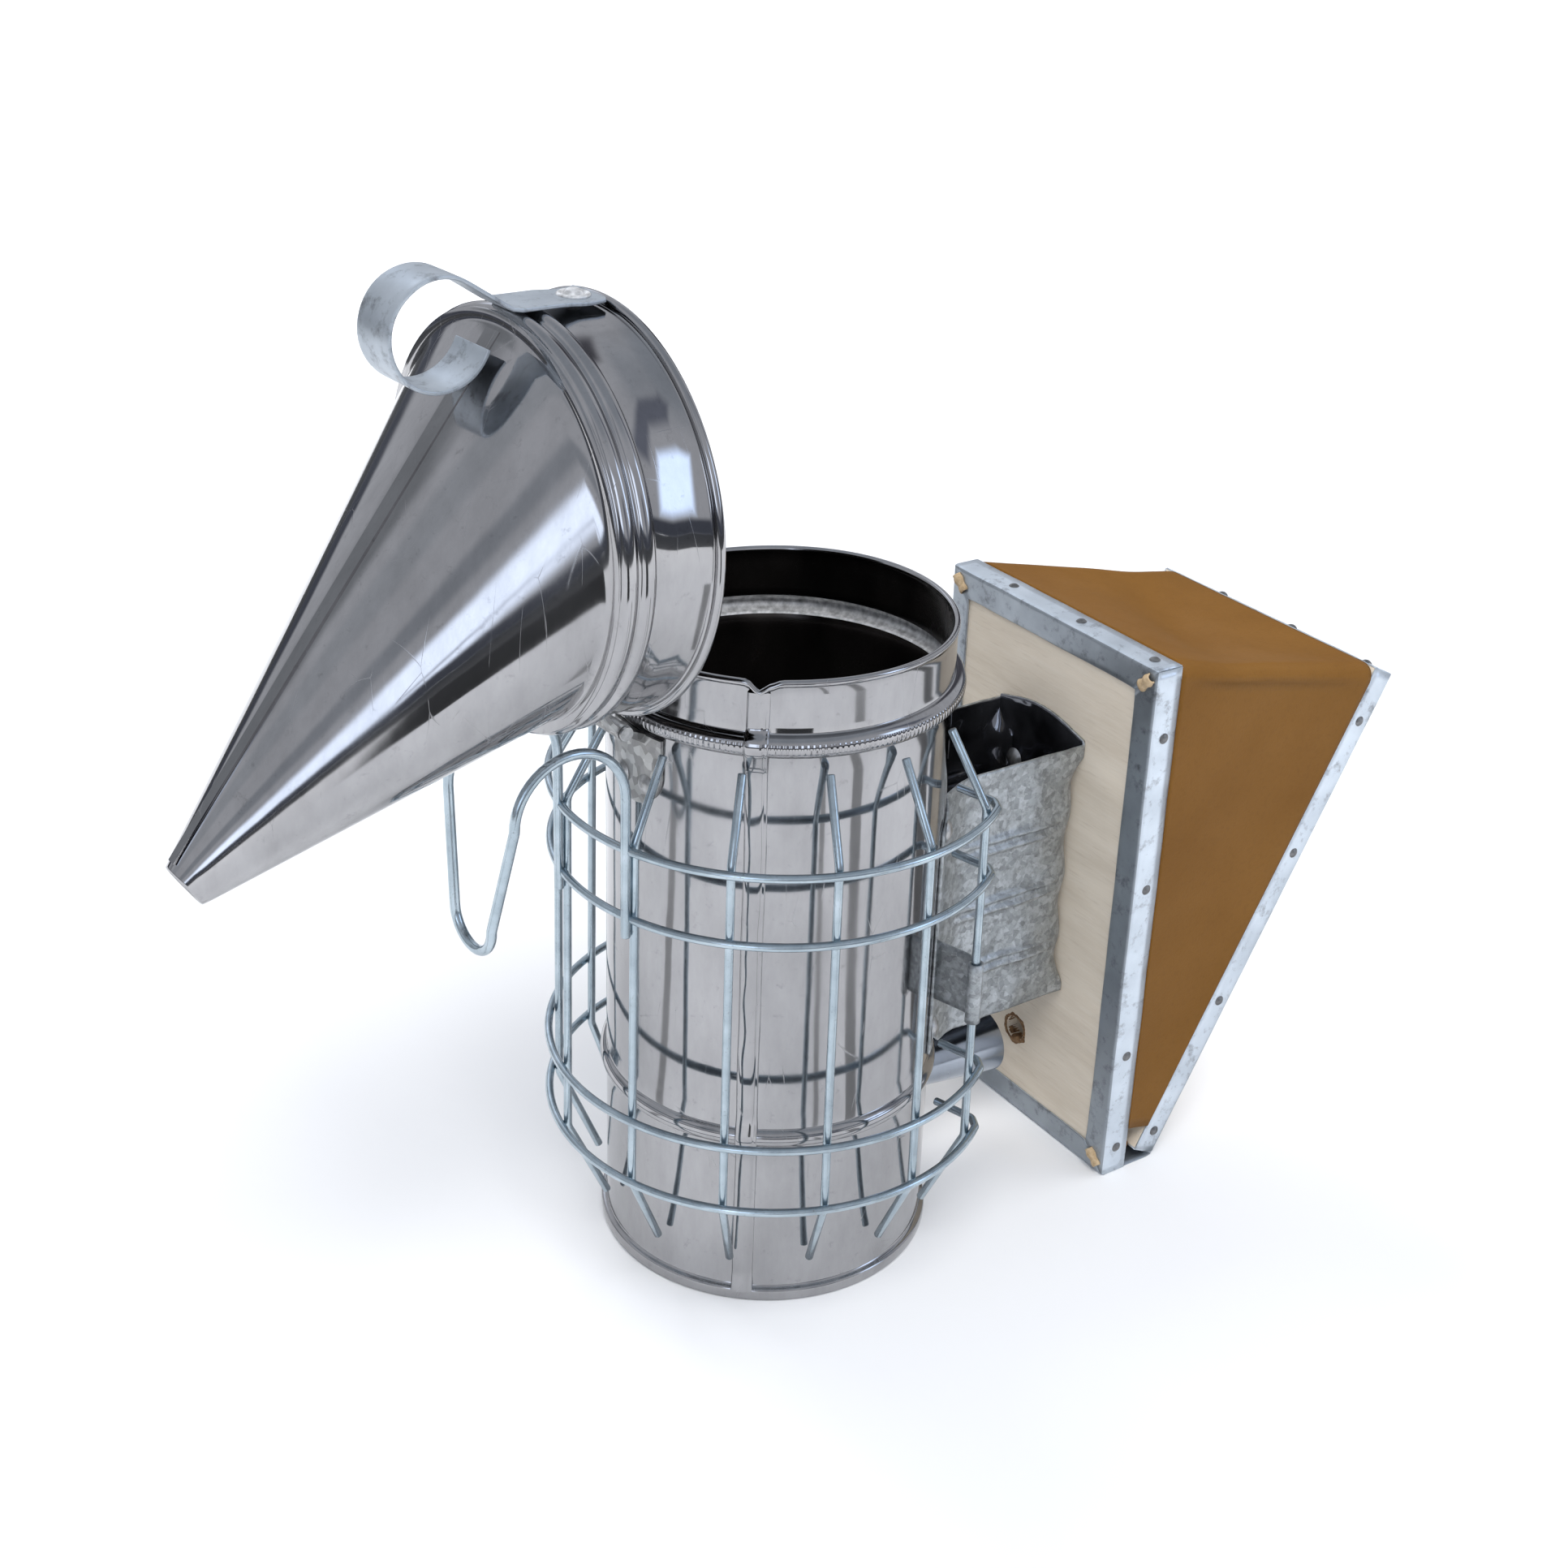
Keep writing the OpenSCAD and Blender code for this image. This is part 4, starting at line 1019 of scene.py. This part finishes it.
def build_world():
    """A dim grey room with bright windows and dark corners, for the polished steel to mirror."""
    world = bpy.data.worlds.new("studio")
    bpy.context.scene.world = world
    world.use_nodes = True
    tree = world.node_tree
    tree.nodes.clear()

    def made(kind, *inputs, **values):
        node = tree.nodes.new(kind)
        for key, value in values.items():
            setattr(node, key, value)
        for socket, value in zip(node.inputs, inputs):
            if isinstance(value, bpy.types.NodeSocket):
                tree.links.new(value, socket)
            else:
                socket.default_value = value
        return node.outputs[0]

    def sums(operation, *inputs):
        return made("ShaderNodeMath", *inputs, operation=operation)

    coord = tree.nodes.new("ShaderNodeTexCoord").outputs["Generated"]
    split = tree.nodes.new("ShaderNodeSeparateXYZ")
    tree.links.new(coord, split.inputs[0])
    x, y, z = split.outputs
    azimuth = sums("MULTIPLY", sums("ARCTAN2", y, x), 57.2958)
    height = sums("MULTIPLY", sums("ARCSINE", z), 57.2958)
    colour = ROOM_GREY
    for az, el, wide, tall, soft, shade in ROOM_CARDS:
        turn = sums("ABSOLUTE", sums("WRAP", sums("SUBTRACT", azimuth, az), 180.0, -180.0))
        rise = sums("ABSOLUTE", sums("SUBTRACT", height, el))
        inside = [sums("MULTIPLY", sums("SUBTRACT", half, off), 1 / soft) for half, off in ((wide, turn), (tall, rise))]
        share = sums("MINIMUM", *inside)
        eased = made("ShaderNodeMapRange", share, 0.0, 1.0, 0.0, 1.0, interpolation_type="SMOOTHSTEP")
        mixed = tree.nodes.new("ShaderNodeMix")
        mixed.data_type = "RGBA"
        tree.links.new(eased, mixed.inputs["Factor"])
        for socket, value in ((mixed.inputs[6], colour), (mixed.inputs[7], (*shade, 1))):
            if isinstance(value, bpy.types.NodeSocket):
                tree.links.new(value, socket)
            else:
                socket.default_value = value
        colour = mixed.outputs[2]
    seen = tree.nodes.new("ShaderNodeLightPath").outputs["Is Camera Ray"]
    backdrop = tree.nodes.new("ShaderNodeMix")
    backdrop.data_type = "RGBA"
    tree.links.new(seen, backdrop.inputs["Factor"])
    tree.links.new(colour, backdrop.inputs[6])
    backdrop.inputs[7].default_value = BACKDROP
    shade = made("ShaderNodeBackground", backdrop.outputs[2], 1.0)
    tree.links.new(shade, tree.nodes.new("ShaderNodeOutputWorld").inputs[0])


def soft_box(name, place, aim, size, power):
    light = bpy.data.lights.new(name, "AREA")
    light.shape = "RECTANGLE"
    light.size, light.size_y = size
    light.energy = power
    lamp = bpy.data.objects.new(name, light)
    bpy.context.scene.collection.objects.link(lamp)
    lamp.location = place
    lamp.visible_glossy = False
    lamp.rotation_euler = (Vector(aim) - Vector(place)).to_track_quat("-Z", "Y").to_euler()


def build_floor():
    mesh = bpy.data.meshes.new("floor")
    mesh.from_pydata([(-4, -4, 0), (4, -4, 0), (4, 4, 0), (-4, 4, 0)], [], [(0, 1, 2, 3)])
    floor = bpy.data.objects.new("floor", mesh)
    bpy.context.scene.collection.objects.link(floor)
    s = Shader("pale_floor")
    s.set(Base_Color=s.ramp(s.noise(3, 2), (0.0, (0.86, 0.86, 0.87)), (1.0, (0.9, 0.9, 0.9))), Roughness=0.9)
    length = s.node("ShaderNodeVectorMath", operation="LENGTH")
    s.link(s.coord, length.inputs[0])
    far = s.math("MULTIPLY", length.outputs["Value"], 0.25)
    s.set(Emission_Color=(1.0, 0.98, 0.95, 1), Emission_Strength=s.ramp(far, (0.12, 0.0), (0.5, 0.55)))
    floor.data.materials.append(s.mat)


def build_cloths():
    """Dark cloths laid round the set: no camera sees them, only the steel mirrors them."""
    for number, (turn, half, near, far, pale) in enumerate(CLOTHS, 1):
        s = Shader(f"dark_cloth_{number}")
        s.set(Base_Color=s.ramp(s.noise(20, 2), (0.0, pale * 0.8), (1.0, pale * 1.2)), Roughness=0.95)
        steps = max(2, round(half / 4))
        corners = []
        for k in range(steps + 1):
            a = math.radians(turn - half + 2 * half * k / steps)
            corners += [(r * math.cos(a), r * math.sin(a), 0.0005 * number) for r in (near, far)]
        mesh = bpy.data.meshes.new(f"dark_cloth_{number}")
        mesh.from_pydata(corners, [], [(2 * k, 2 * k + 1, 2 * k + 3, 2 * k + 2) for k in range(steps)])
        cloth = bpy.data.objects.new(mesh.name, mesh)
        bpy.context.scene.collection.objects.link(cloth)
        cloth.data.materials.append(s.mat)
        cloth.visible_camera = cloth.visible_diffuse = cloth.visible_shadow = False


def build_camera():
    data = bpy.data.cameras.new("photo_view")
    camera = bpy.data.objects.new("photo_view", data)
    bpy.context.scene.collection.objects.link(camera)
    az, el, roll, distance = math.radians(-38.9), math.radians(26.19), math.radians(1.93), 0.661
    back = Vector((math.sin(az) * math.cos(el), -math.cos(az) * math.cos(el), math.sin(el)))
    right = (-back).cross(Vector((0, 0, 1))).normalized()
    up = right.cross(-back)
    side = right * math.cos(roll) + up * math.sin(roll)
    top = up * math.cos(roll) - right * math.sin(roll)
    place = Vector((0, 0, 0.160)) + back * distance
    turn = Matrix((side, top, back)).transposed().to_4x4()
    camera.matrix_world = Matrix.Translation(place) @ turn
    data.sensor_width = 36
    data.lens = 52.05
    data.shift_x, data.shift_y = 0.0041, -0.0211
    bpy.context.scene.camera = camera


bpy.context.scene.view_settings.view_transform = "Standard"
build_world()
build_floor()
build_cloths()
soft_box("key", (-0.5, -0.9, 1.9), (0, 0, 0.12), (1.0, 1.0), 25)
soft_box("fill", (1.5, -0.7, 1.5), (0.1, 0, 0.12), (1.0, 1.0), 11)
soft_box("back", (0.1, 1.3, 1.7), (0, 0, 0.15), (1.2, 0.9), 18)
build_camera()
